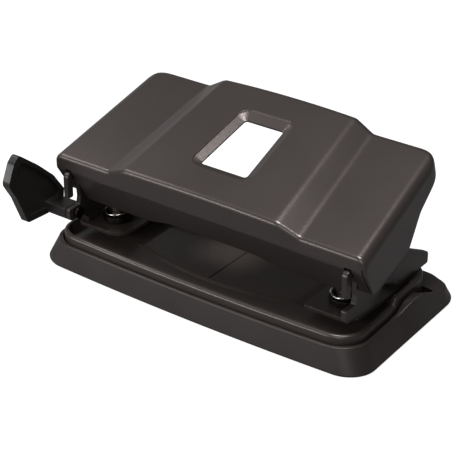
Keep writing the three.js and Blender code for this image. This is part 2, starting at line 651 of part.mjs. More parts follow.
function leverStations(halfWidth, edge) {
  const stations = [];
  for (let k = 0; k <= 4; k += 1) {
    const angle = (k / 4) * (Math.PI / 2);
    const x = halfWidth - edge + edge * Math.cos(angle);
    stations.push({ front: x, rear: x, spread: 0, crown: 0, lift: 0, rearward: 0, inset: edge * (1 - Math.sin(angle)) });
  }
  const level = (front, rear, spread, crown, lift, rearward) =>
    stations.push({ front, rear, spread, crown, lift, rearward, inset: 0 });
  level(40, 38.5, 0, 0, 0, 0.55);
  level(FOLD_OUTER_FRONT, FOLD_OUTER_REAR, 0, 0, 0, 1);
  level(FOLD_INNER_FRONT, FOLD_INNER_REAR, 1, 0, 0, 1.05);
  [22, 13, 6, 0].forEach((x) => {
    const crown = LEVER_CROWN * (1 - (x / FOLD_INNER_FRONT) ** 2);
    level(x, x * (FOLD_INNER_REAR / FOLD_INNER_FRONT), 1, crown, x > 20 ? 0 : 1, 1.1);
  });
  const mirrored = stations.slice(0, -1).reverse().map((s) => ({ ...s, front: -s.front, rear: -s.rear }));
  return [...stations, ...mirrored].reverse();
}

function leverBody(halfWidth, edge, section, extraInset) {
  const rings = leverStations(halfWidth, edge).map((station) =>
    section(station, station.inset + extraInset).map(({ x: y, y: z }) => {
      const along = THREE.MathUtils.clamp((y + 13) / 43, 0, 1);
      return new THREE.Vector3(THREE.MathUtils.lerp(station.front, station.rear, along), y, z);
    }));
  return toSolid(loft(rings, fromRight));
}

function windowLoop(grow, z) {
  const corners = insetOutline([v2(-WINDOW_HALF_FRONT, WINDOW_FRONT), v2(WINDOW_HALF_FRONT, WINDOW_FRONT),
    v2(WINDOW_HALF_REAR, WINDOW_REAR), v2(-WINDOW_HALF_REAR, WINDOW_REAR)], -grow);
  return roundOutline(corners, Math.max(WINDOW_CORNER + grow, 0.8), 5).map(({ x, y }) =>
    new THREE.Vector3(x, y, z + y * LEVER_SLOPE));
}

function leverHood() {
  const outer = leverBody(LEVER_HALF_WIDTH, LEVER_EDGE, leverSection, 0);
  const hollow = leverBody(LEVER_HALF_WIDTH - LEVER_SHEET, LEVER_EDGE - LEVER_SHEET, hollowSection, LEVER_SHEET);
  const windowTop = LEVER_FRONT_HEIGHT + 12.5 * LEVER_SLOPE + LEVER_STEP + LEVER_CROWN;
  const collar = toSolid(loft([windowLoop(LEVER_SHEET - WINDOW_BEVEL + 0.2, windowTop - WINDOW_COLLAR),
    windowLoop(LEVER_SHEET + 0.4, windowTop + 2)], fromAbove)).intersect(outer);
  const opening = toSolid(loft([windowLoop(-WINDOW_BEVEL, windowTop - WINDOW_COLLAR - 3),
    windowLoop(-WINDOW_BEVEL, windowTop - WINDOW_COLLAR), windowLoop(0, windowTop - 0.4),
    windowLoop(0.5, windowTop + 3)], fromAbove));
  let hood = outer.subtract(hollow).add(collar).subtract(opening);
  const slotInner = FRAME_INNER_X - HOOK_SLOT_CLEARANCE;
  const slotOuter = frameOuterX + HOOK_SLOT_CLEARANCE;
  const slotTop = PIVOT_Z + HOOK_NECK / 2 + 0.8;
  const slotBottom = PIVOT_Z - HOOK_NECK / 2 - HOOK_SLOT_CLEARANCE;
  for (const [from, to] of [[slotInner, slotOuter], [-slotOuter, -slotInner]]) {
    hood = hood.subtract(toSolid(box(from, to, -16, -7, slotBottom, slotTop)));
    hood = hood.subtract(toSolid(box(from, to, -14, 0, 10, slotBottom - SKIRT_BRIDGE)));
  }
  return toGeometry(hood);
}

// A folded strip that carries the lever's push down to one punch.
function pressBracket(x) {
  const underTop = (y) => LEVER_FRONT_HEIGHT + (y + 12.5) * LEVER_SLOPE - LEVER_SHEET - SEAT_GAP - BRACKET_SHEET / 2;
  const noseRadius = BRACKET_NOSE - BRACKET_SHEET / 2;
  const noseZ = PIN_HEAD_TOP + SEAT_GAP + BRACKET_NOSE;
  const line = [v2(-7.5, underTop(-7.5)), v2(-noseRadius - 0.6, underTop(-noseRadius - 0.6))];
  for (let k = 0; k <= 6; k += 1) {
    const angle = Math.PI + (k / 6) * Math.PI;
    line.push(v2(noseRadius * Math.cos(angle), noseZ + noseRadius * Math.sin(angle)));
  }
  line.push(v2(noseRadius + 0.6, underTop(noseRadius + 0.6)), v2(9, underTop(9)));
  return plateAcross(stripOutline(line, BRACKET_SHEET), x - BRACKET_WIDTH / 2, x + BRACKET_WIDTH / 2);
}

// ---- paper guide ----

function paperGuide() {
  const paddle = roundOutline([
    v2(-13.2, 13), v2(-8.2, 13.2), v2(-8, 17.2), v2(-5.7, 19.6), v2(-9.4, 24.3), v2(-15.8, 30.2),
    v2(-23.2, 36), v2(-25.4, 34), v2(-28.2, 28), v2(-25, 22.6), v2(-21.2, 13.4),
  ], [1, 0.8, 0.8, 0.8, 6, 8, 1.2, 3, 2.4, 6, 1], 4).filter((point, i, all) =>
    point.distanceTo(all[(i + 1) % all.length]) > 1e-3);
  const blade = toSolid(plateAcross(paddle, -GUIDE_ARM_END - PADDLE_SHEET, -GUIDE_ARM_END));
  const hub = roundOutline([v2(-BLOCK_FRONT, BLOCK_BOTTOM), v2(-8, BLOCK_BOTTOM), v2(-8, BLOCK_TOP),
    v2(-BLOCK_FRONT, BLOCK_TOP)], [1.3, 1, 1, 0.5], 4);
  const arm = toSolid(plateAcross(hub, -GUIDE_ARM_END - 0.5, -GUIDE_ARM_START));
  const bore = toSolid(rodAcross(PIVOT_PIN_DIAMETER / 2 + SEAT_GAP, -GUIDE_ARM_END + 0.8, -GUIDE_ARM_START + 1,
    GUIDE_PIVOT_Y, GUIDE_PIVOT_Z));
  return toGeometry(blade.add(arm).subtract(bore));
}

function guidePivotPin() {
  const headFace = -FRAME_INNER_X + SEAT_GAP;
  const shank = rodAcross(PIVOT_PIN_DIAMETER / 2, -GUIDE_ARM_END + 1.2, headFace + 0.2, GUIDE_PIVOT_Y, GUIDE_PIVOT_Z);
  const head = rodAcross(PIVOT_PIN_HEAD / 2, headFace, headFace + PIVOT_PIN_HEAD_THICKNESS, GUIDE_PIVOT_Y, GUIDE_PIVOT_Z);
  return toGeometry(join(shank, head));
}

// ---- assembly ----

addNode('chip_tray', chipTray(), plastic);
addNode('base_plate', basePlate(), basePaint);
for (const [sideName, x] of [['left', -punchX], ['right', punchX]]) {
  addNode(`die_ring_${sideName}`, dieRing(x), dullSteel);
  addNode(`guide_plate_${sideName}`, guidePlate(x), basePaint);
  addNode(`guide_bush_${sideName}`, guideBush(x), dullSteel);
  addNode(`punch_pin_${sideName}`, punchPin(x), brightSteel);
  addNode(`punch_spring_${sideName}`, punchSpring(x), brightSteel);
  addNode(`spring_washer_${sideName}`, springWasher(x), brightSteel);
  addNode(`press_bracket_${sideName}`, pressBracket(x), dullSteel);
}
const rightFrame = sideFrame();
addNode('side_frame_right', toGeometry(rightFrame), paint);
addNode('side_frame_left', leftFrame(rightFrame), paint);
rivetPlaces.forEach((place) => {
  const side = place[0] < 0 ? 'left' : 'right';
  const row = Math.abs(place[0]) > punchX ? 'outer' : 'inner';
  addNode(`rivet_${side}_${row}`, rivet(place), dullSteel);
});
addNode('lever_hood', leverHood(), paint);
addNode('paper_guide', paperGuide(), plastic);
addNode('guide_pivot_pin', guidePivotPin(), dullSteel);

export default punch;
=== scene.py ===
import math

import bmesh
import bpy
import numpy as np
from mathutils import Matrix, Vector


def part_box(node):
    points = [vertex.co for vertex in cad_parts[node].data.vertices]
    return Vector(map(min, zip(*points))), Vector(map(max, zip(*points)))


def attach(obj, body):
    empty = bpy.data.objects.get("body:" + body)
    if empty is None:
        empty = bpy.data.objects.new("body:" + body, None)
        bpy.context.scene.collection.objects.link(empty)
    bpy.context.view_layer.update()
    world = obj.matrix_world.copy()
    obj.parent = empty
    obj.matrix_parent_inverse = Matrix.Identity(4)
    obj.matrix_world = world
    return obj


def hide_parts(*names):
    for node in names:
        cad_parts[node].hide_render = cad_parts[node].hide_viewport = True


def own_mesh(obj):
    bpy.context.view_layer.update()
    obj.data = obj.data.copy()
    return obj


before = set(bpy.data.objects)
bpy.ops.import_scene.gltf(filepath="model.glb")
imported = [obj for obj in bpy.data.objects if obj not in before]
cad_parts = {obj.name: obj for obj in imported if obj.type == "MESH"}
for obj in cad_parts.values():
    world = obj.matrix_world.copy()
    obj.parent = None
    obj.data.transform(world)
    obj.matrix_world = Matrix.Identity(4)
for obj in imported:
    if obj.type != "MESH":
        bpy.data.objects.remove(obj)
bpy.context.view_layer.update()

mm = 0.001
sides = ("left", "right")


# Lowest and highest corner of a node, in millimetres.
def boxOf(node):
    low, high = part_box(node)
    return np.array(low) / mm, np.array(high) / mm


def middleOf(node):
    low, high = boxOf(node)
    return (low + high) / 2


def smoothStep(value, low, high):
    t = np.clip((value - low) / (high - low), 0, 1)
    return t * t * (3 - 2 * t)


# Each edge of the anticlockwise outlines (rows, corners, 2) moved inwards by its distance. The new
# corners are where neighbouring moved edges meet.
def insetCorners(corners, distances):
    along = np.roll(corners, -1, axis=1) - corners
    along /= np.linalg.norm(along, axis=2, keepdims=True)
    inward = np.stack([-along[..., 1], along[..., 0]], axis=2)
    start = corners + inward * np.broadcast_to(distances, corners.shape[:2])[..., None]
    startBefore = np.roll(start, 1, axis=1)
    alongBefore = np.roll(along, 1, axis=1)
    cross = alongBefore[..., 0] * along[..., 1] - alongBefore[..., 1] * along[..., 0]
    offset = start - startBefore
    t = (offset[..., 0] * along[..., 1] - offset[..., 1] * along[..., 0]) / cross
    return startBefore + alongBefore * t[..., None]


# Outlines (rows, corners, 2) with an arc of the given radius at each corner, and each straight
# edge split into equal steps.
def roundCorners(corners, radii, arcSteps=6, edgeSteps=1):
    back = np.roll(corners, 1, axis=1) - corners
    ahead = np.roll(corners, -1, axis=1) - corners
    back /= np.linalg.norm(back, axis=2, keepdims=True)
    ahead /= np.linalg.norm(ahead, axis=2, keepdims=True)
    half = np.arccos(np.clip((back * ahead).sum(2), -1, 1)) / 2
    middle = back + ahead
    middle /= np.maximum(np.linalg.norm(middle, axis=2, keepdims=True), 1e-9)
    radii = np.broadcast_to(np.asarray(radii, float), corners.shape[:2])
    centre = corners + middle * (radii / np.sin(half))[..., None]
    start = corners + back * (radii / np.tan(half))[..., None] - centre
    turn = -(np.pi - 2 * half) * np.sign(back[..., 0] * ahead[..., 1] - back[..., 1] * ahead[..., 0])
    angle = turn[..., None] * np.linspace(0, 1, arcSteps + 1)
    c, s = np.cos(angle), np.sin(angle)
    x = centre[..., 0, None] + start[..., 0, None] * c - start[..., 1, None] * s
    y = centre[..., 1, None] + start[..., 0, None] * s + start[..., 1, None] * c
    arcs = np.stack([x, y], axis=3)
    if edgeSteps > 1:
        share = (np.arange(1, edgeSteps) / edgeSteps)[None, None, :, None]
        first = np.roll(arcs[:, :, :1], -1, axis=1)
        arcs = np.concatenate([arcs, arcs[:, :, -1:] * (1 - share) + first * share], axis=2)
    return arcs.reshape(len(corners), -1, 2)


# A rounded outline from (Y, Z, radius) corners.
def profileOf(corners, arcSteps=8):
    corners = np.array(corners, float)
    return roundCorners(corners[None, :, :2], np.maximum(corners[:, 2], 0.02), arcSteps)[0]


# A skin over closed rings (rows, points, 3) in millimetres. Unless the rows close on themselves,
# a face closes each end.
def meshFromRings(name, rings, closeRows=False):
    rows, count, _ = rings.shape
    index = np.arange(rows * count).reshape(rows, count)
    after = np.roll(index, -1, axis=1)
    nextRow = np.roll(index, -1, axis=0)
    nextAfter = np.roll(after, -1, axis=0)
    quads = np.stack([index, after, nextAfter, nextRow], axis=2)
    faces = (quads if closeRows else quads[:-1]).reshape(-1, 4).tolist()
    if not closeRows:
        faces += [index[0][::-1].tolist(), index[-1].tolist()]
    mesh = bpy.data.meshes.new(name)
    mesh.from_pydata((rings.reshape(-1, 3) * mm).tolist(), [], faces)
    made = bpy.data.objects.new(name, mesh)
    bpy.context.collection.objects.link(made)
    cleanMesh(mesh, 1e-7)
    return made


# Welds points closer than the distance and turns every face outwards.
def cleanMesh(mesh, distance, flatAngle=0):
    working = bmesh.new()
    working.from_mesh(mesh)
    bmesh.ops.remove_doubles(working, verts=working.verts, dist=distance)
    if flatAngle:
        bmesh.ops.dissolve_limit(working, angle_limit=math.radians(flatAngle), verts=working.verts,
                                 edges=working.edges)
    bmesh.ops.recalc_face_normals(working, faces=working.faces)
    working.to_mesh(mesh)
    working.free()
    mesh.update()


# A closed profile of (radius, height) pairs turned about the upright line at x, y.
def revolved(name, profile, x, y, segments=64):
    profile = np.array(profile, float)
    angle = np.linspace(0, 2 * np.pi, segments, endpoint=False)
    rings = np.stack([
        x + profile[:, 0, None] * np.cos(angle),
        y + profile[:, 0, None] * np.sin(angle),
        np.repeat(profile[:, 1, None], segments, axis=1)], axis=2)
    return meshFromRings(name, rings, closeRows=profile[0, 0] > 0)


# A YZ outline carried along X, from one value to the other.
def plateAcross(name, outline, fromX, toX):
    outline = np.asarray(outline)
    x = np.repeat(np.array([fromX, toX], float)[:, None], len(outline), axis=1)
    return meshFromRings(name, np.stack([x, *np.repeat(outline.T[:, None], 2, axis=1)], axis=2))


# An XY outline carried upwards, from one height to the other.
def plateFlat(name, outline, fromZ, toZ):
    outline = np.asarray(outline)
    z = np.repeat(np.array([fromZ, toZ], float)[:, None], len(outline), axis=1)
    return meshFromRings(name, np.stack([*np.repeat(outline.T[:, None], 2, axis=1), z], axis=2))


# A box between two corners.
def block(name, low, high):
    outline = [(low[0], low[1]), (high[0], low[1]), (high[0], high[1]), (low[0], high[1])]
    return plateFlat(name, outline, low[2], high[2])


# Points (segments, 2) evenly spaced round a circle.
def circle(radius, acrossCentre, upCentre, segments=48):
    angle = np.linspace(0, 2 * np.pi, segments, endpoint=False)
    return np.stack([acrossCentre + radius * np.cos(angle), upCentre + radius * np.sin(angle)], axis=1)


# Round cutters and pins: a circle carried upwards, or along X.
def rodUp(name, radius, fromZ, toZ, x, y, segments=48):
    return plateFlat(name, circle(radius, x, y, segments), fromZ, toZ)


def rodAcross(name, radius, fromX, toX, y, z, segments=48):
    return plateAcross(name, circle(radius, y, z, segments), fromX, toX)


# Puts the modified mesh in place of the piece's own.
def applyModifiers(piece):
    graph = bpy.context.evaluated_depsgraph_get()
    graph.update()
    mesh = bpy.data.meshes.new_from_object(piece.evaluated_get(graph))
    piece.modifiers.clear()
    piece.data = mesh


# Joins or cuts the piece with each of the others, which are then removed.
def combine(piece, others, operation):
    for other in others:
        modifier = piece.modifiers.new(operation, "BOOLEAN")
        modifier.operation = operation
        modifier.solver = "EXACT"
        modifier.object = other
        applyModifiers(piece)
        bpy.data.objects.remove(other)
    return piece


def copyOf(piece, name):
    copy = piece.copy()
    copy.data = piece.data.copy()
    copy.name = name
    bpy.context.collection.objects.link(copy)
    return copy


# Rounds the edges, sets the shading, and puts the piece in place of its node.
def finishPiece(piece, body, node, material, bevel=0.25, segments=3, sharpAngle=38):
    if bevel:
        modifier = piece.modifiers.new("edges", "BEVEL")
        modifier.width = bevel * mm
        modifier.segments = segments
        modifier.limit_method = "ANGLE"
        modifier.angle_limit = math.radians(sharpAngle)
        modifier.use_clamp_overlap = True
        applyModifiers(piece)
    mesh = piece.data
    mesh.polygons.foreach_set("use_smooth", np.ones(len(mesh.polygons), bool))
    mesh.set_sharp_from_angle(angle=math.radians(50))
    weighted = piece.modifiers.new("normals", "WEIGHTED_NORMAL")
    weighted.keep_sharp = True
    mesh.materials.clear()
    mesh.materials.append(material)
    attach(piece, body)
    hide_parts(node)
    return piece


# sRGB hex to linear RGBA.
def linearOf(hexColour):
    values = [int(hexColour[i:i + 2], 16) / 255 for i in (1, 3, 5)]
    return (*[v / 12.92 if v <= 0.04045 else ((v + 0.055) / 1.055) ** 2.4 for v in values], 1)


# A shader node with its settings, input values, and links from other nodes' sockets.
def addNode(tree, kind, settings=None, inputs=None, links=None):
    node = tree.nodes.new(kind)
    for key, value in (settings or {}).items():
        setattr(node, key, value)
    for key, value in (inputs or {}).items():
        node.inputs[key].default_value = value
    for key, socket in (links or {}).items():
        tree.links.new(socket, node.inputs[key])
    return node


def newMaterial(name):
    material = bpy.data.materials.new(name)
    material.use_nodes = True
    tree = material.node_tree
    tree.nodes.clear()
    return material, tree


# A surface whose colour, roughness and height vary in spots. Each pattern is the size of a spot in
# millimetres, its detail, and its lowest and highest value: a factor on the colour, the roughness,
# or a height from 0 to 1. The bump is the strength and the depth in millimetres.
def spottedMaterial(name, hexColour, tone, roughness, height, bump, constants):
    material, tree = newMaterial(name)
    place = addNode(tree, "ShaderNodeTexCoord")

    def spots(size, detail, low, high):
        noise = addNode(tree, "ShaderNodeTexNoise", inputs={"Scale": 1 / (size * mm), "Detail": detail},
                        links={"Vector": place.outputs["Object"]})
        ranged = addNode(tree, "ShaderNodeMapRange",
                         inputs={"From Min": 0.3, "From Max": 0.7, "To Min": low, "To Max": high},
                         links={"Value": noise.outputs["Fac"]})
        return ranged.outputs["Result"]

    colour = addNode(tree, "ShaderNodeMix", {"data_type": "RGBA", "blend_type": "MULTIPLY"},
                     {0: 1.0, 6: linearOf(hexColour)}, {7: spots(*tone)})
    relief = addNode(tree, "ShaderNodeBump", inputs={"Strength": bump[0], "Distance": bump[1] * mm},
                     links={"Height": spots(*height)})
    shader = addNode(tree, "ShaderNodeBsdfPrincipled", inputs=constants,
                     links={"Base Color": colour.outputs[2], "Roughness": spots(*roughness),
                            "Normal": relief.outputs["Normal"]})
    addNode(tree, "ShaderNodeOutputMaterial", links={"Surface": shader.outputs["BSDF"]})
    return material


# Sprayed metallic paint, baked on pressed steel: a soft satin sheen over fine flake, with a faint
# orange peel of about 1.5 mm and slightly rubbed, smoother patches of about 25 mm. The flake is
# drawn at 0.16 mm, coarser than real, so that it shows.
def satinPaint(name, hexColour, metallic, roughness=0.36):
    return spottedMaterial(
        name, hexColour, tone=(0.16, 1, 0.9, 1.1), roughness=(25, 3, roughness - 0.03, roughness + 0.03),
        height=(1.5, 2, 0, 1), bump=(0.05, 0.2),
        constants={"Metallic": metallic, "Coat Weight": 0.2, "Coat Roughness": 0.22})


# Injection-moulded plastic: an even satin surface with a spark-eroded grain of about 0.3 mm, and
# faint flow marks and wear in patches of about 16 mm.
def mouldedPlastic(name, hexColour, roughness=0.42):
    return spottedMaterial(
        name, hexColour, tone=(16, 2, 0.94, 1.06), roughness=(16, 2, roughness - 0.04, roughness + 0.04),
        height=(0.3, 3, 0, 1), bump=(0.05, 0.1), constants={"IOR": 1.5})


# Steel, drawn or turned and plated: bright metal whose roughness varies in spots of about 1 mm,
# its tone in spots of 2.5 mm, with fine handling marks.
def platedSteel(name, hexColour, roughness):
    return spottedMaterial(
        name, hexColour, tone=(2.5, 2, 0.93, 1.04), roughness=(1.1, 3, roughness - 0.06, roughness + 0.08),
        height=(0.25, 2, 0, 1), bump=(0.04, 0.1), constants={"Metallic": 1.0})


leverPaint = satinPaint("warmGreyLeverPaint", "#4e4745", metallic=0.6)
framePaint = satinPaint("warmGreyFramePaint", "#413b39", metallic=0.55)
basePaint = satinPaint("darkBasePaint", "#3f3835", metallic=0.3, roughness=0.32)
trayPlastic = mouldedPlastic("darkTrayPlastic", "#2b2523")
guidePlastic = mouldedPlastic("blackGuidePlastic", "#201d1c", roughness=0.38)
springWire = platedSteel("nickelSpringWire", "#d0cfcc", roughness=0.16)
groundSteel = platedSteel("groundPunchSteel", "#6e665f", roughness=0.3)
dullZinc = platedSteel("dullZincPlate", "#6b6a68", roughness=0.34)
blackenedSteel = platedSteel("blackenedBushSteel", "#2e2a28", roughness=0.42)
print("materials made")


# Rings (rows, points, 3): a rounded plan outline, narrower at the rear, whose front edge is bowed
# by bow * (x / half) ** 2, moved in by each inset. Heights are numbers or functions of y. The
# widening moves the sides outwards by a function of y.
def planLoops(plan, insets, heights, widening=None):
    half, front = plan["half"], plan["front"]
    rearHalf, rear = plan["rearHalf"], plan["rear"]
    corners = np.array([[(-half, -front), (half, -front), (rearHalf, rear), (-rearHalf, rear)]], float)
    rings = []
    for inset, height in zip(insets, heights):
        corner = max(plan["corner"] - inset, plan["corner"] / 8)
        x, y = roundCorners(insetCorners(corners, inset), corner, 16, 32)[0].T
        y = y + plan["bow"] * (x / half) ** 2 * np.clip(-y / front, 0, 1)
        if widening:
            x = x + np.sign(x) * widening(y) * smoothStep(np.abs(x), half * 0.9, half * 0.95)
        z = height(y) if callable(height) else np.full(len(y), float(height))
        rings.append(np.stack([x, y, z], axis=1))
    return np.array(rings)


# Insets and drops, from 0 to 1, along a quarter round.
def quarterRound(steps):
    angle = np.linspace(0, np.pi / 2, steps)
    return 1 - np.cos(angle), 1 - np.sin(angle)


gap = 0.3  # running clearance between pieces
hair = 0.01  # keeps the faces of joined pieces from lying in one plane
beyond = 1  # how far a cutter reaches past the faces that it cuts
guideLow, guideHigh = boxOf("guide_plate_right")
punchX = middleOf("punch_pin_right")[0]
frameSheet = 1.5
frameInner = guideHigh[0] - 1.1
frameOuter = frameInner + frameSheet
guideBottom, guideTop = guideLow[2], guideHigh[2]
paperSlit = 1.8
paperFloor = guideBottom - paperSlit
stopY = 10.9  # where the paper meets the deck's edge
pinRadius = 2.75
boreRadius = pinRadius + gap
dieRadius = 4.5
rivetShank = 1.5

plate = {"half": frameOuter + 3.6, "rearHalf": frameOuter + 2.0, "front": 17.0, "rear": 28.6, "corner": 8,
         "bow": 1.6, "sheet": 1.2, "bottom": 2.0, "rim": 10.2, "rimStep": 1.9, "rimRise": 0.5,
         "stepStart": stopY - 4, "stepLength": 1.4, "rimWidth": 1.5, "rimSlope": 0.8, "rimRound": 1.0,
         "panelHeight": 0.6, "panelHalf": 30, "panelFront": 9.7, "panelBow": 5.2, "bevel": 3.5,
         "frontBevel": 1.4, "mark": 0.45}
sunkFloor = paperFloor - plate["panelHeight"]
deckTop = guideBottom - gap
well = {"half": plate["half"] + 0.5, "rearHalf": plate["rearHalf"] + 0.5, "front": plate["front"] + 0.5,
        "rear": plate["rear"] + 0.9, "corner": plate["corner"] + 0.5, "bow": plate["bow"]}
foot = {"half": plate["half"] + 4.4, "rearHalf": plate["rearHalf"] + 4.4, "front": plate["front"] + 2.6,
        "rear": plate["rear"] + 9.9, "corner": 8.5, "bow": plate["bow"]}
rim = {"half": well["half"] + 0.8, "rearHalf": well["rearHalf"] + 1.55, "front": well["front"] + 0.8,
       "rear": foot["rear"] - 1.7, "corner": 8.5, "bow": plate["bow"]}
tray = {"wall": 1.7, "skin": 1.3, "rim": 7.6, "shoulderRise": 2.6, "shoulderLength": 7.5, "widening": 1.5,
        "rearRim": 4.9, "lip": 1.6, "lipRound": 0.25, "ledge": 0.8, "footRound": 0.9, "rimRound": 0.4,
        "notchStart": stopY + 4.9, "notchDepth": 2.6, "notchRamp": 2.7, "tongueX": 25, "tongueHalf": 4,
        "tongueSheet": 1.3, "riser": 0.7, "reach": 2.2}
shoulderStart = plate["stepStart"] - plate["stepLength"]
tongueTop = sunkFloor - plate["sheet"] - gap


# The height of the tray's edge: the rim, up to the shoulder, and down to the low rear rim.
def trayEdge(y):
    shoulderEnd = shoulderStart + tray["shoulderLength"]
    shoulder = tray["rim"] + tray["shoulderRise"] * smoothStep(y, shoulderStart, shoulderEnd)
    fall = tray["rim"] + tray["shoulderRise"] - tray["rearRim"]
    return shoulder - fall * smoothStep(y, tray["notchStart"], plate["rear"] + 3)


# How far the outer wall swells beside the shoulder, and the inner wall beside the pocket.
def shoulderWidening(y):
    return tray["widening"] * smoothStep(y, shoulderStart, tray["notchStart"])


def notchWidening(y):
    opening = smoothStep(y, tray["notchStart"], tray["notchStart"] + tray["notchRamp"])
    return tray["notchDepth"] * opening * (1 - smoothStep(y, plate["rear"] - 2, plate["rear"]))


# A dish: the plan outline lofted from the foot, up the drafted wall, over the rim and down inside,
# with two tongues at the front that hook under the plate.
def makeTray():
    spread, drop = quarterRound(6)
    r, footRound, lip, lipRound = tray["rimRound"], tray["footRound"], tray["lip"], tray["lipRound"]
    below = lambda amount: lambda y: trayEdge(y) - amount
    footRings = planLoops(foot, list(footRound * drop), list(footRound * spread))
    outerRings = planLoops(rim, list(r * spread), [below(r * d) for d in drop], shoulderWidening)
    lipRings = planLoops(well, list(-lipRound * drop[::-1]) + [0],
                         [below(lipRound * s) for s in spread] + [below(lip)], notchWidening)
    ledgeRings = planLoops(well, [0, 0], [below(lip + 2 * hair), below(lip + tray["ledge"])])
    underLip = planLoops(rim, [tray["skin"]], [below(lip + tray["skin"])], shoulderWidening)
    floorRings = planLoops(foot, [tray["wall"] + footRound, tray["wall"] + footRound + 0.5],
                           [tray["wall"] + 0.3, tray["wall"]])
    rings = [footRings, outerRings, lipRings, ledgeRings, underLip, floorRings]
    dish = meshFromRings("chipTray", np.concatenate(rings))
    innerX = tray["tongueX"] - tray["tongueHalf"]
    wallFace = -plate["front"] + plate["bow"] * (innerX / plate["half"]) ** 2 - gap
    riserFront = wallFace - tray["riser"]
    bottom = tongueTop - tray["tongueSheet"]
    tipRear = -plate["front"] + tray["reach"]
    for sign in (-1, 1):
        x0, x1 = sorted((sign * innerX, sign * (innerX + 2 * tray["tongueHalf"])))
        riser = block("tongueRiser", (x0, riserFront, bottom), (x1, wallFace, tray["rim"] - 0.6))
        tip = block("tongueTip", (x0 + hair, riserFront + hair, bottom + hair),
                    (x1 - hair, tipRear, tongueTop))
        combine(dish, [riser, tip], "UNION")
    finishPiece(dish, "tray", "chip_tray", trayPlastic, bevel=0)


# The height of the plate's rim: stepped up beside the deck, then rising evenly to the rear.
def plateRim(y):
    step = plate["rimStep"] * smoothStep(y, plate["stepStart"], plate["stepStart"] + plate["stepLength"])
    rise = plate["rimRise"] * np.clip((y - stopY) / (plate["rear"] - stopY), 0, 1)
    return plate["rim"] + step + rise


# The raised paper panel: straight at the stop, its front edge bowed by panelBow * (x / half) ** 2.
# Its bevel goes up by a share of the panel's height at each ring, and in by a share of its width.
def centrePanel():
    along = np.linspace(-1, 1, 61)
    rear = stopY + beyond
    rings = []
    for rise, share in zip([-1, 0, 0.06, 0.5, 0.94, 1], [0, 0, 0.06, 0.5, 0.94, 1.1]):
        half = plate["panelHalf"] - plate["bevel"] * share
        z = sunkFloor + plate["panelHeight"] * rise
        x = half * along
        bowed = plate["panelBow"] * (x / plate["panelHalf"]) ** 2
        y = plate["frontBevel"] * share - plate["panelFront"] + bowed
        ring = np.stack([x, y, np.full_like(x, z)], axis=1)
        rings.append(np.concatenate([[(half, rear, z), (-half, rear, z)], ring]))
    return meshFromRings("centrePanel", np.array(rings))


# A pressed pan: turned-down edge, rounded rim bead, sunk floor, raised deck and paper panel.
def makeBasePlate():
    spread, drop = quarterRound(7)
    r, w, slope = plate["rimRound"], plate["rimWidth"], plate["rimSlope"]
    below = lambda amount: lambda y: plateRim(y) - amount
    share = np.linspace(0.12, 0.88, 3)
    insets = [0] + list(spread * r) + [w - 0.2, w] + list(w + slope * share) + [w + slope, w + slope + 0.5]
    blend = [lambda y, s=s: (plateRim(y) - 0.15) * (1 - s) + sunkFloor * s for s in share]
    heights = [plate["bottom"]] + [below(r * d) for d in drop] + [below(0.01), below(0.1)] + blend + [
        sunkFloor + 0.12, sunkFloor]
    pan = meshFromRings("basePlate", planLoops(plate, insets, heights))
    wide, far, high = plate["half"] + 10, plate["rear"] + 10, plate["rim"] + 10
    deck = plateFlat("deck", planLoops(plate, [w + slope / 2], [0])[0][:, :2], sunkFloor - 1, deckTop)
    combine(deck, [block("behindStop", (-wide, stopY, 0), (wide, far, high))], "INTERSECT")
    combine(pan, [deck, centrePanel()], "UNION")
    sheet = plate["sheet"]
    hollowTop = sunkFloor - sheet
    hollow = meshFromRings("panHollow", planLoops(plate, [sheet] * 2, [0.5, hollowTop]))
    deckInside = planLoops(plate, [w + slope / 2 + sheet * 1.5], [0])[0][:, :2]
    deckHollow = plateFlat("deckHollow", deckInside, sunkFloor - 2, deckTop - sheet)
    combine(deckHollow, [block("hollowStop", (-wide, stopY + sheet, 0), (wide, far, high))], "INTERSECT")
    markHalf = plate["mark"] / 2
    markFront = plate["frontBevel"] - plate["panelFront"]
    cuts = [hollow, deckHollow, block("centreMark", (-markHalf, markFront, paperFloor - gap),
                                      (markHalf, stopY - gap, paperFloor + beyond))]
    for sign, side in zip((-1, 1), sides):
        cuts.append(rodUp("dieSeat", dieRadius + gap, 0, paperFloor + beyond, sign * punchX, 0))
        slotX = sign * tray["tongueX"]
        slotHalf = tray["tongueHalf"] + 0.5
        cuts.append(block("tongueSlot", (slotX - slotHalf, -plate["front"] - beyond, 0),
                          (slotX + slotHalf, -plate["front"] + sheet + 0.5, hollowTop)))
        for row in ("inner", "outer"):
            x, y, _ = middleOf(f"rivet_{side}_{row}")
            cuts.append(rodUp("rivetHole", rivetShank + gap, 0, deckTop + beyond, x, y))
    combine(pan, cuts, "DIFFERENCE")
    finishPiece(pan, "base", "base_plate", basePaint, bevel=0.15)


makeTray()
makeBasePlate()
print("tray and base plate made")

guide = {"half": 8.2, "front": 8.4, "rear": 21, "corner": 5.5, "smallCorner": 1, "edge": 0.22}
bush = {"body": 3.9, "flange": 4.6, "thickness": 1.6}
bushFlangeBottom = guideTop + gap
bushTop = bushFlangeBottom + bush["thickness"]
punch = {"top": 28.0, "head": 4.0, "headHeight": 1.7, "rim": 0.5, "tipHeight": 0.4, "tipHollow": 0.8,
         "tipBevel": 0.2}
washer = {"radius": 4.7, "thickness": 0.6}
washerBottom = punch["top"] - punch["headHeight"] - gap - washer["thickness"]
spring = {"radius": 4.05, "wire": 0.33, "endPitch": 0.68, "openTurns": 3, "clearance": 0.15}
dieRing = {"depth": 3.0, "flange": 5.4, "top": 5.1, "land": 1.6, "relief": 0.4}
rivetSizes = {"head": 2.5, "height": 1.1, "domeStart": 0.25, "tail": 0.8, "tailHeight": 0.7}


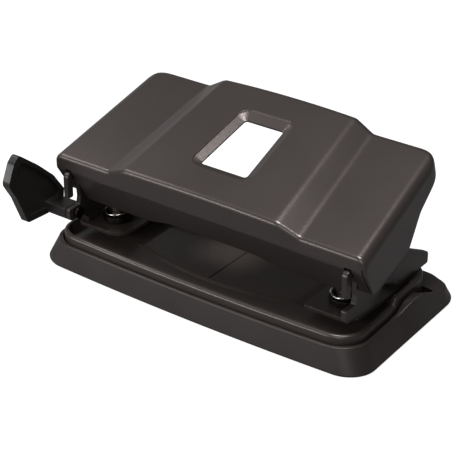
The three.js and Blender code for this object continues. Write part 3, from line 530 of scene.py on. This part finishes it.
# A profile with small rounds at the numbered corners, ready to be turned.
def softened(profile, radii):
    corners = [(*point, radius) for point, radius in zip(profile, radii)]
    return profileOf(corners, 4)


# A flat plate, rounded at its front outer corner, with holes for its bush and its rivets.
def makeGuidePlate(side, x):
    half, front, rear = guide["half"], guide["front"], guide["rear"]
    left, right, small = x - half, x + half, guide["smallCorner"]
    corners = np.array([[(left, -front), (right, -front), (right, rear), (left, rear)]], float)
    outline = roundCorners(corners, [small, guide["corner"], small, small], 16)[0]
    piece = plateFlat(f"guidePlate_{side}", outline, guideBottom, guideTop)
    cuts = [rodUp("bushHole", bush["body"] + gap, 0, guideTop + beyond, x, 0, 64)]
    for row in ("inner", "outer"):
        rivetX, rivetY, _ = middleOf(f"rivet_{side}_{row}")
        cuts.append(rodUp("rivetHole", rivetShank + gap, 0, guideTop + beyond, rivetX, rivetY))
    combine(piece, cuts, "DIFFERENCE")
    finishPiece(piece, "base", f"guide_plate_{side}", basePaint, bevel=guide["edge"])


# A flanged bush, turned from its profile.
def makeBush(side, x):
    body, flange = bush["body"], bush["flange"]
    bottom = guideBottom + 0.1
    profile = softened([(boreRadius, bottom), (body, bottom), (body, bushFlangeBottom),
                        (flange, bushFlangeBottom), (flange, bushTop), (boreRadius, bushTop)],
                       [0.1, 0.1, 0.05, 0.12, 0.2, 0.2])
    piece = revolved(f"guideBush_{side}", profile, x, 0)
    finishPiece(piece, "base", f"guide_bush_{side}", blackenedSteel, bevel=0)


# A flanged ring, turned from its profile, whose bore widens below the cutting edge.
def makeDieRing(side, x):
    relief = boreRadius + dieRing["relief"]
    lip, bottom, land = sunkFloor + gap, paperFloor - dieRing["depth"], paperFloor - dieRing["land"]
    profile = softened([(relief, bottom), (dieRadius, bottom), (dieRadius, lip), (dieRing["flange"], lip),
                        (dieRing["top"], paperFloor), (boreRadius, paperFloor), (boreRadius, land),
                        (relief, land - dieRing["relief"])],
                       [0.1, 0.2, 0.03, 0.05, 0.1, 0.03, 0.03, 0.05])
    piece = revolved(f"dieRing_{side}", profile, x, 0)
    finishPiece(piece, "base", f"die_ring_{side}", groundSteel, bevel=0)


# A punch with a hollow-ground end and a domed head, its dome a quarter of an ellipse.
def makePin(side, x):
    tip = guideBottom + punch["tipHeight"]
    head, top = punch["head"], punch["top"]
    headBottom = top - punch["headHeight"]
    domeBottom = headBottom + punch["rim"]
    angle = np.linspace(0, np.pi / 2, 10)[:-1]
    dome = np.stack([head * np.cos(angle), domeBottom + (top - domeBottom) * np.sin(angle)], axis=1)
    shank = [(0, tip + punch["tipHollow"]), (pinRadius - punch["tipBevel"], tip),
             (pinRadius, tip + 2 * hair), (pinRadius, headBottom), (head - 0.1, headBottom),
             (head, headBottom + 0.1)]
    piece = revolved(f"punchPin_{side}", np.concatenate([shank, dome, [(0, top)]]), x, 0)
    finishPiece(piece, f"punch_{side}", f"punch_pin_{side}", groundSteel, bevel=0)


# A flat ring with softened edges.
def makeWasher(side, x):
    top = washerBottom + washer["thickness"]
    profile = softened([(boreRadius, washerBottom), (washer["radius"], washerBottom),
                        (washer["radius"], top), (boreRadius, top)], 4 * [0.14])
    piece = revolved(f"springWasher_{side}", profile, x, 0)
    finishPiece(piece, f"punch_{side}", f"spring_washer_{side}", springWire, bevel=0)


# Round wire along a helix with half a closed turn at each end. Its height follows the turn number:
# the end pitch over the closed turns, and an equal share of the rest over the open ones. The wire's
# ends are rounded: its thickness grows with the root of 1 - (1 - distance / wire) ** 2.
def makeSpring(side, x):
    wire = spring["wire"]
    bottom = bushTop + spring["clearance"] + wire
    top = washerBottom - spring["clearance"] - wire
    turns = spring["openTurns"] + 1
    turn = np.linspace(0, turns, turns * 72 + 1)
    openPitch = (top - bottom - spring["endPitch"]) / spring["openTurns"]
    closed = np.minimum(turn, 0.5) + np.maximum(turn - turns + 0.5, 0)
    z = bottom + closed * spring["endPitch"] + np.clip(turn - 0.5, 0, spring["openTurns"]) * openPitch
    angle = turn * 2 * np.pi + np.pi / 2
    around = np.linspace(0, 2 * np.pi, 14, endpoint=False)
    fromEnd = np.minimum(turn, turns - turn) * 2 * np.pi * spring["radius"] / wire
    thickness = wire * np.sqrt(np.clip(1 - np.clip(1 - fromEnd, 0, 0.98) ** 2, 0.04, 1))[:, None]
    radius = spring["radius"] + thickness * np.cos(around)
    rings = np.stack([x + radius * np.cos(angle)[:, None], radius * np.sin(angle)[:, None],
                      z[:, None] + thickness * np.sin(around)], axis=2)
    piece = meshFromRings(f"punchSpring_{side}", rings)
    finishPiece(piece, "base", f"punch_spring_{side}", springWire, bevel=0)
    applyModifiers(piece)
    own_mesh(piece)


# A rivet with a domed head and a clenched tail, its dome a part of an ellipse.
def makeRivet(side, row):
    node = f"rivet_{side}_{row}"
    x, y, _ = middleOf(node)
    bottom, top = (corner[2] for corner in boxOf(node))
    head, height, start = rivetSizes["head"], rivetSizes["height"], rivetSizes["domeStart"]
    headBottom = top - height
    tailTop = bottom + height * rivetSizes["tailHeight"]
    angle = np.linspace(start, np.pi / 2, 8)[:-1]
    dome = np.stack([head * np.cos(angle) / math.cos(start), headBottom + height * np.sin(angle)], axis=1)
    shank = [(0, bottom), (head * 0.66, bottom), (head * 0.75, bottom + 0.1),
             (head * rivetSizes["tail"], tailTop), (rivetShank, tailTop), (rivetShank, headBottom),
             (head - 0.05, headBottom)]
    piece = revolved(node, np.concatenate([shank, dome, [(0, top)]]), x, y, 48)
    finishPiece(piece, "base", node, dullZinc, bevel=0)


for side, x in zip(sides, (-punchX, punchX)):
    makeGuidePlate(side, x)
    makeBush(side, x)
    makeDieRing(side, x)
    makePin(side, x)
    makeWasher(side, x)
    makeSpring(side, x)
    makeRivet(side, "inner")
    makeRivet(side, "outer")
print("punch stations made")

pivotY, pivotZ = -12.3, 28.1  # the axis that the lever turns on, at the frames' necks
footBottom = guideTop + gap
bandBottom = plate["rim"] + plate["rimStep"] + plate["rimRise"] + gap
frameSizes = {"foot": 6.0, "footOverlap": 0.7, "legDepth": 2.2, "legRear": -0.8, "legLength": 7.9,
              "neck": 1.6, "blockFront": 13.4, "blockRear": 6.2, "ramp": (8.8, 2.6), "abovePlate": 2.0,
              "blockHeight": 3.9, "frontFoot": (-7.4, -2.2), "archStart": 3.4, "archRise": 4.0,
              "tabRear": 29.0, "tabHeight": 3.7, "neckRise": 2.3, "bandFront": (3, 6.8),
              "bandRear": (15.5, 6.2)}
blockBottom = guideTop + frameSizes["abovePlate"]
blockTop = blockBottom + frameSizes["blockHeight"]
rivetY = middleOf("rivet_right_outer")[1]
rearFoot = (rivetY - 3.4, rivetY + 4.6)


# The frame's outline in the YZ plane: front block, hooked neck, upright, sloping band, rear tab,
# rear foot, and an arch between the feet.
def frameOutline():
    f = frameSizes
    neckTop, neckBottom = pivotZ + f["neck"] / 2, pivotZ - f["neck"] / 2
    legRear = pivotY - f["legRear"]
    legFront = legRear - f["legDepth"]
    legBottom = neckTop - f["legLength"]
    uprightTop = neckTop + f["neckRise"]
    (bandFront, bandFrontRise), (bandRear, bandRearRise) = f["bandFront"], f["bandRear"]
    blockFront, rampFront, rampRise = -f["blockFront"], -f["ramp"][0], f["ramp"][1]
    footFront, start, rise = f["frontFoot"][0], f["archStart"], f["archRise"]
    tab, tabTop = f["tabRear"], bandBottom + f["tabHeight"]
    corners = [
        (footFront, footBottom, 0.2), (footFront, blockBottom, 0.3), (blockFront, blockBottom, 1.3),
        (blockFront, blockTop, 0.5), (rampFront, blockTop, 0.4),
        (rampFront + 0.5, blockTop + rampRise, 1.2),
        (pivotY + f["neck"] * 2, neckBottom, 0.3), (legRear, neckBottom, 0.3), (legRear, legBottom, 0.5),
        (legFront, legBottom, 0.5), (legFront, neckTop, 1.6), (pivotY + f["neck"] * 2, neckTop, 2),
        (pivotY + f["neck"] * 4, uprightTop, 1.5), (pivotY + f["neck"] * 7, uprightTop, 1.5),
        (bandFront, blockTop + bandFrontRise, 2), (bandRear, blockTop + bandRearRise, 3),
        (tab - 0.4, tabTop, 0.9), (tab, tabTop - 1, 0.3), (tab, bandBottom, 0.6),
        (rearFoot[1], bandBottom, 0.1), (rearFoot[1], footBottom, 0.1),
        (rearFoot[0], footBottom, 0.1), (rearFoot[0] - 0.4, bandBottom, 0.5),
        (rearFoot[0] - rise, bandBottom + rise * 0.65, 2), (start + rise / 2, bandBottom + rise, 1.4),
        (start, bandBottom + rise / 2, 1), (start, footBottom, 0.2)]
    return profileOf(corners[::-1])


# The outline carried through the sheet's thickness, with two feet turned in over the guide plate.
def makeSideFrame(side, sign):
    def turnedFoot(name, reach, span):
        x0, x1 = sorted((sign * (frameInner - reach), sign * (frameInner + frameSizes["footOverlap"])))
        return block(name, (x0, span[0], footBottom), (x1, span[1], footBottom + frameSheet))

    x0, x1 = sorted((sign * frameInner, sign * frameOuter))
    piece = plateAcross(f"sideFrame_{side}", frameOutline(), x0, x1)
    feet = [turnedFoot("frontFoot", frameSizes["foot"] / 3, frameSizes["frontFoot"]),
            turnedFoot("rearFoot", frameSizes["foot"], rearFoot)]
    combine(piece, feet, "UNION")
    rivetX, y, _ = middleOf(f"rivet_{side}_outer")
    cuts = [rodUp("rivetHole", rivetShank + gap, 0, footBottom + 3, rivetX, y)]
    if side == "left":
        cuts.append(rodAcross("pivotHole", pivotPin["radius"] + gap, x0 - beyond, x1 + beyond, *guidePivot))
    combine(piece, cuts, "DIFFERENCE")
    finishPiece(piece, "base", f"side_frame_{side}", framePaint, bevel=0.22)


guidePivot = (-10.2, blockBottom + 2)
pivotPin = {"radius": 1.2, "head": 1.7, "headThickness": 0.9, "endWall": 1.2}
arm = {"start": frameOuter + gap, "length": 7.6, "root": 0.65}
armEnd = arm["start"] + arm["length"]
paddle = {"sheet": 2.6, "edge": 0.45}
recess = {"y": -17.5, "z": 10.5, "share": 0.8, "depth": 0.45}
# Paddle corners seen from the right: Y, height above the block's underside, radius.
paddleCorners = [
    (-13.2, -0.3, 1), (-7.6, -0.1, 0.8), (-5.6, 1.4, 0.8), (-5.2, 5, 0.8), (-9.4, 11, 6), (-15.8, 16.9, 8),
    (-23.2, 22.7, 1.2), (-25.4, 20.7, 3), (-28.2, 14.7, 2.4), (-25, 9.3, 6), (-21.2, 0.1, 1)]


# The paddle's outline carried through its thickness, less the same outline at a smaller size cut
# shallowly into its face, and the arm that turns on the pin.
def makePaperGuide():
    outline = profileOf([(y, blockBottom + height, radius) for y, height, radius in paddleCorners], 10)
    piece = plateAcross("paperGuide", outline, -armEnd - paddle["sheet"], -armEnd)
    share, middleY, middleHeight = recess["share"], recess["y"], recess["z"]
    face = profileOf([(middleY + (y - middleY) * share,
                       blockBottom + (middleHeight + (height - middleHeight) * share), 1)
                      for y, height, _ in paddleCorners])
    hollow = plateAcross("paddleRecess", face, -armEnd - recess["depth"], -armEnd + beyond)
    combine(piece, [hollow], "DIFFERENCE")
    front, rear = -frameSizes["blockFront"], -frameSizes["blockRear"]
    hub = profileOf([(front, blockBottom, 1.3), (rear, blockBottom, 1), (rear, blockTop, 2.2),
                     (front, blockTop, 0.5)])
    combine(piece, [plateAcross("arm", hub, -armEnd - arm["root"], -arm["start"])], "UNION")
    boreEnd = -armEnd + pivotPin["endWall"] - gap
    bore = rodAcross("bore", pivotPin["radius"] + gap, boreEnd, -arm["start"] + beyond, *guidePivot)
    combine(piece, [bore], "DIFFERENCE")
    finishPiece(piece, "guide", "paper_guide", guidePlastic, bevel=paddle["edge"],
                segments=4)


# A straight pin with a flat head on the inner side of the left frame.
def makePivotPin():
    headFace = -frameInner + gap
    headEnd = headFace + pivotPin["headThickness"]
    pinEnd = -armEnd + pivotPin["endWall"]
    piece = rodAcross("guidePivotPin", pivotPin["radius"], pinEnd, headFace + 0.3, *guidePivot)
    combine(piece, [rodAcross("pinHead", pivotPin["head"], headFace, headEnd, *guidePivot)], "UNION")
    finishPiece(piece, "base", "guide_pivot_pin", blackenedSteel, bevel=0.12)


makeSideFrame("left", -1)
makeSideFrame("right", 1)
makePaperGuide()
makePivotPin()
print("frames and paper guide made")

hood = {"half": frameOuter + 4.6, "taper": 3.7, "sheet": 0.9, "edge": 3.0, "slope": 0.315, "frontY": -12.5,
        "frontZ": 33.6, "rearY": 30.6, "step": 3.3, "crown": 0.6, "flange": 6.6, "rearLean": 2.4,
        "outerFold": (32.7, 28.2), "innerFold": (26, 22.5), "foldRound": 1.3, "foldLean": 1.5,
        "kinkBelow": 4.3, "skirtRun": 6.8, "skirtDrop": 11.4, "skirtLip": 2.4, "skirtArch": 0.2,
        "skirtArchHalf": 13, "skirtEnds": 0.29, "corner": 6.0, "cornerDepth": 0.75, "seam": 0.3,
        "openRear": 76}
kinkY, kinkZ = pivotY - 0.1, hood["frontZ"] - hood["kinkBelow"]
# The side wall's rear edge from the skirt upwards: Y, depth below the top, radius.
wallRearEdge = [(13.9, 17.3, 2), (19.9, 10.5, 5), (24.3, 9, 4)]


# The sloping top's height: a straight line in Y, with the raised centre's step and crown on it.
def hoodTop(y, spread=0.0, crown=0.0):
    return hood["frontZ"] + (y - hood["frontY"]) * hood["slope"] + spread * hood["step"] + crown


# 0 below low and 1 above high, straight between, with both bends rounded.
def softRamp(value, low, high, radius):
    offsets = np.linspace(-radius, radius, 21)
    weights = 1 - np.abs(offsets) / radius
    return (np.clip((value[:, None] + offsets - low) / (high - low), 0, 1) * weights).sum(1) / weights.sum()


# Rows across the hood, left to right: front and rear X, inset of the rounded edge, how far the
# raised centre has come, its crown, the share of the full skirt, and how far the rounded rear
# corner draws the row's end in.
def hoodRows(half, edge):
    plateau = half - edge
    outerFold, innerFold, soft = hood["outerFold"], hood["innerFold"], hood["foldRound"]
    angle = np.linspace(0, np.pi / 2, 10)
    flat = np.linspace(plateau, outerFold[0] + soft, 30)[1:]
    fold = np.linspace(outerFold[0] + soft, innerFold[0] - soft, 25)[1:]
    middle = np.linspace(innerFold[0] - soft, 0, 24)[1:]
    front = np.concatenate([plateau + edge * np.cos(angle), flat, fold, middle])
    rear = np.interp(front, [0, innerFold[0], outerFold[0], plateau, half],
                     [0, innerFold[1], outerFold[1], plateau - hood["taper"], half - hood["taper"]])
    rounding = edge * (1 - np.sqrt(np.clip(1 - ((front - plateau) / edge) ** 2, 0, 1)))
    inset = np.where(front >= plateau, rounding, 0)
    spread = softRamp(-front, -outerFold[0], -innerFold[0], soft)
    crown = hood["crown"] * np.clip(1 - (front / innerFold[0]) ** 2, 0, 1)
    arch, archHalf = hood["skirtArch"], hood["skirtArchHalf"]
    skirt = 1 - arch + arch * smoothStep(front, archHalf, innerFold[0])
    skirt = skirt - hood["skirtEnds"] * smoothStep(front, frameOuter - 1, frameOuter + 1)
    corner = hood["corner"] - hood["half"] + half
    bend = corner * (1 - np.sqrt(1 - np.clip((rear - rear[0]) / corner + 1, 0, 1) ** 2))
    rows = np.column_stack([front, rear, inset, spread, crown, skirt, bend])
    mirrored = rows[:-1][::-1] * np.array([-1, -1, 1, 1, 1, 1, 1])
    return np.concatenate([rows, mirrored])[::-1]


# The YZ section of every row: skirt, side wall outline, rear flange and sloping top, or, where a
# sheet thickness is given, the hollow inside them, which is open below and behind.
def hoodSection(rows, sheet):
    _, _, inset, spread, crown, skirt, bend = rows.T
    one = np.ones_like(inset)
    frontY = hood["frontY"] - hood["foldLean"] * spread - crown / 2
    rearY = hood["rearY"] - bend * hood["cornerDepth"]
    skirtY, skirtZ = kinkY + hood["skirtRun"] * skirt, kinkZ - hood["skirtDrop"] * skirt
    flangeY, flangeZ = rearY + hood["rearLean"], hoodTop(rearY, spread, crown) - hood["flange"]
    upper = [(flangeY, flangeZ), (rearY, hoodTop(rearY, spread, crown)),
             (frontY, hoodTop(frontY, spread, crown)), (kinkY * one, kinkZ * one)]
    if sheet:
        belowY, belowZ = skirtY + 0.8 * (skirtY - kinkY), skirtZ + 0.8 * (skirtZ - kinkZ)
        farRear = hood["openRear"] * one
        corners = [(belowY, belowZ), (farRear, belowZ), (farRear, flangeZ)] + upper
        distances = [0, 0, 0, sheet + inset * 0.6, sheet + inset, sheet + inset * 0.4, sheet + inset * 0.25]
        radii = [0.01, 0.01, 0.01, 0.01, 1.6, 1.0, 2.1]
    else:
        lip = (skirtY + hood["skirtLip"], skirtZ - hood["skirtLip"] / 4)
        wall = [(y * one, (hoodTop(y) - depth) * one) for y, depth, _ in wallRearEdge]
        corners = [(skirtY, skirtZ), lip] + wall + upper
        distances = [0, 0, 0, 0, 0, inset * 0.6, inset, inset * 0.4, inset * 0.25]
        radii = [0.2, 0.4] + [radius for _, _, radius in wallRearEdge] + [1, 2.4, 1.5, 3]
    corners = np.stack([np.stack(c, axis=1) for c in corners], axis=1)
    moved = np.stack([d * one for d in distances], axis=1)
    radii = radii * one[:, None]
    radii[:, -2:] *= 1 - 0.6 * inset[:, None] / hood["edge"]
    return roundCorners(insetCorners(corners, moved), radii, 7, 8)


# The sections set side by side. Each point's X goes from its row's front X to its rear X with its
# share of the way back. The points are rounded to a millionth of a millimetre, here and round the
# window, so that the cuts come out alike on every run.
def hoodBody(name, sheet):
    rows = hoodRows(hood["half"] - sheet, hood["edge"] - sheet)
    y, z = np.moveaxis(hoodSection(rows, sheet), 2, 0)
    along = np.clip((y - hood["frontY"]) / (hood["rearY"] - hood["frontY"]), 0, 1)
    x = rows[:, 0, None] * (1 - along) + rows[:, 1, None] * along
    return meshFromRings(name, np.round(np.stack([x, y, z], axis=2), 6))


window = {"front": -4.2, "rear": 20.5, "halfFront": 10.5, "halfRear": 8.9, "corner": 3.4, "bevel": 2.5,
          "collar": 1.5, "edge": 0.45}


# The window outline, grown by each value, its height rising with the lever's slope.
def windowRings(name, grows, heights):
    front, rear, halfFront, halfRear = (window[key] for key in ("front", "rear", "halfFront", "halfRear"))
    corners = np.array([[(-halfFront, front), (halfFront, front), (halfRear, rear), (-halfRear, rear)]])
    rings = []
    for grow, height in zip(grows, heights):
        loop = roundCorners(insetCorners(corners, -grow), window["corner"] + grow, 12, 8)[0]
        rings.append(np.column_stack([loop, height + loop[:, 1] * hood["slope"]]))
    return meshFromRings(name, np.round(rings, 6))


# What the hollow leaves round the window for the sheet that is pressed down there: a funnel that
# narrows downwards.
def windowCollar(top):
    grow = hood["sheet"] - window["bevel"] + gap
    bottom = top - window["collar"] - hood["sheet"] / 2
    return windowRings("windowCollar", [grow, 3 * hood["sheet"]], [bottom, top + 2])


# The opening: straight below, sloping at the pressed sheet, and a quarter round at its mouth.
def windowOpening(top):
    spread, drop = quarterRound(7)
    bevel, edge, mouth = window["bevel"], window["edge"], top - window["collar"]
    grows = [-bevel, -bevel] + list(edge * spread) + [edge]
    heights = [mouth - window["collar"], mouth] + list(top - edge * drop) + [top + window["collar"]]
    return windowRings("windowOpening", grows, heights)


# The body less its hollow and its window, then the slots that the frames' necks pass through, the
# relief under them, and the thin open seams at the front corners.
def makeHood():
    body = hoodBody("leverHood", 0)
    top = hoodTop(0, 1, hood["crown"])
    hollow = combine(hoodBody("hoodHollow", hood["sheet"]), [windowCollar(top)], "DIFFERENCE")
    combine(body, [windowOpening(top), hollow], "DIFFERENCE")
    cleanMesh(body.data, 2e-6)
    cuts = []
    clearance, strip, underSkirt = 0.4, 2.4, 8
    slotTop, slotBottom = pivotZ + frameSizes["neck"], pivotZ - frameSizes["neck"] / 2 - clearance
    slotFront, slotRear = pivotY - 3 * hood["sheet"], kinkY + hood["skirtRun"]
    reliefRear, reliefTop = slotRear + hood["skirtRun"], slotBottom - strip
    seamX = hood["half"] - hood["sheet"]
    for sign in (-1, 1):
        x0, x1 = sorted((sign * (frameInner - clearance), sign * (frameOuter + clearance)))
        cuts.append(block("hookSlot", (x0, slotFront, slotBottom), (x1, slotRear, slotTop)))
        cuts.append(block("skirtRelief", (x0, slotFront, underSkirt), (x1, reliefRear, reliefTop)))
        x0, x1 = sorted((sign * (seamX - hood["seam"]), sign * seamX))
        cuts.append(block("cornerSeam", (x0, slotFront, underSkirt), (x1, slotRear, kinkZ + 1.2)))
    combine(body, cuts, "DIFFERENCE")
    finishPiece(body, "lever", "lever_hood", leverPaint, bevel=0.14, sharpAngle=42)


# The folded strips that press on the punches, with eased edges.
def makeBracket(side):
    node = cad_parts[f"press_bracket_{side}"]
    piece = copyOf(node, f"pressBracket_{side}")
    cleanMesh(piece.data, 1e-6, flatAngle=1)
    finishPiece(piece, "lever", f"press_bracket_{side}", dullZinc, bevel=0.15)


makeHood()
for side in sides:
    makeBracket(side)
print("lever made")

studio = {"floorSize": 6, "floorGrey": 0.2, "floorGlow": 0.92, "skyStrength": 0.085}
lights = {
    "topLight": {"place": (0.04, -0.03, 0.42), "target": (0, 0, 0.02), "size": (0.12, 0.12), "power": 1.6},
    "skyLight": {"place": (-0.19, -0.04, 0.21), "target": (-0.04, -0.02, 0.03), "size": (0.14, 0.05),
                 "power": 0.13},
    "leftLight": {"place": (-0.6, 0.25, 0.2), "target": (0, 0, 0.02), "size": (0.6, 0.35), "power": 0.23},
    "floorLight": {"place": (-0.25, -0.35, 0.12), "target": (-0.25, -0.351, 0), "size": (0.4, 0.2),
                   "power": 3.0},
    "fillLight": {"place": (0.3, -0.6, 0.35), "target": (0, 0, 0.02), "size": (0.3, 0.3), "power": 1.1}}
camera = {"azimuth": 36.59, "elevation": 28.41, "place": (235.6, -317.7, 235.3), "lens": 127.5,
          "sensor": 36}


# A floor that looks white to the camera, with a faint shadow, and grey to the light that goes on
# from it to the object.
def makeFloor():
    bpy.ops.mesh.primitive_plane_add(size=studio["floorSize"], location=(0, 0, 0))
    floor = bpy.context.object
    floor.name = "floor"
    material, tree = newMaterial("paleFloor")
    path = addNode(tree, "ShaderNodeLightPath")
    diffuse = addNode(tree, "ShaderNodeBsdfDiffuse", inputs={"Color": (*3 * [studio["floorGrey"]], 1)})
    glow = addNode(tree, "ShaderNodeEmission",
                   inputs={"Color": (1, 1, 1, 1), "Strength": studio["floorGlow"]})
    both = addNode(tree, "ShaderNodeAddShader", links={0: diffuse.outputs[0], 1: glow.outputs[0]})
    seen = addNode(tree, "ShaderNodeMixShader",
                   links={0: path.outputs["Is Camera Ray"], 1: diffuse.outputs[0], 2: both.outputs[0]})
    addNode(tree, "ShaderNodeOutputMaterial", links={"Surface": seen.outputs[0]})
    floor.data.materials.append(material)


# Dim, even light from all round, which looks white to the camera.
def makeWorld():
    world = bpy.data.worlds.new("studio")
    bpy.context.scene.world = world
    world.use_nodes = True
    tree = world.node_tree
    tree.nodes.clear()
    path = addNode(tree, "ShaderNodeLightPath")
    strength = addNode(tree, "ShaderNodeMapRange", inputs={"To Min": studio["skyStrength"], "To Max": 1.0},
                       links={"Value": path.outputs["Is Camera Ray"]})
    background = addNode(tree, "ShaderNodeBackground", inputs={"Color": (1, 1, 1, 1)},
                         links={"Strength": strength.outputs["Result"]})
    addNode(tree, "ShaderNodeOutputWorld", links={"Surface": background.outputs["Background"]})


# Points an object's -Z axis along a direction.
def aim(holder, direction):
    holder.rotation_mode = "QUATERNION"
    holder.rotation_quaternion = Vector(direction).to_track_quat("-Z", "Y")


def areaLight(name, place, target, size, power):
    lamp = bpy.data.lights.new(name, "AREA")
    lamp.shape = "RECTANGLE"
    lamp.size, lamp.size_y = size
    lamp.energy = power
    holder = bpy.data.objects.new(name, lamp)
    bpy.context.collection.objects.link(holder)
    holder.location = place
    aim(holder, np.array(target) - np.array(place))


def makeCamera():
    data = bpy.data.cameras.new("camera")
    data.lens = camera["lens"]
    data.sensor_width = camera["sensor"]
    data.clip_start = 0.01
    holder = bpy.data.objects.new("camera", data)
    bpy.context.collection.objects.link(holder)
    holder.location = np.array(camera["place"]) * mm
    azimuth, elevation = math.radians(camera["azimuth"]), math.radians(camera["elevation"])
    level = math.cos(elevation)
    aim(holder, (-math.sin(azimuth) * level, math.cos(azimuth) * level, -math.sin(elevation)))
    bpy.context.scene.camera = holder


makeFloor()
makeWorld()
for name, light in lights.items():
    areaLight(name, **light)
makeCamera()
bpy.context.scene.view_settings.view_transform = "Standard"
print("stage made")
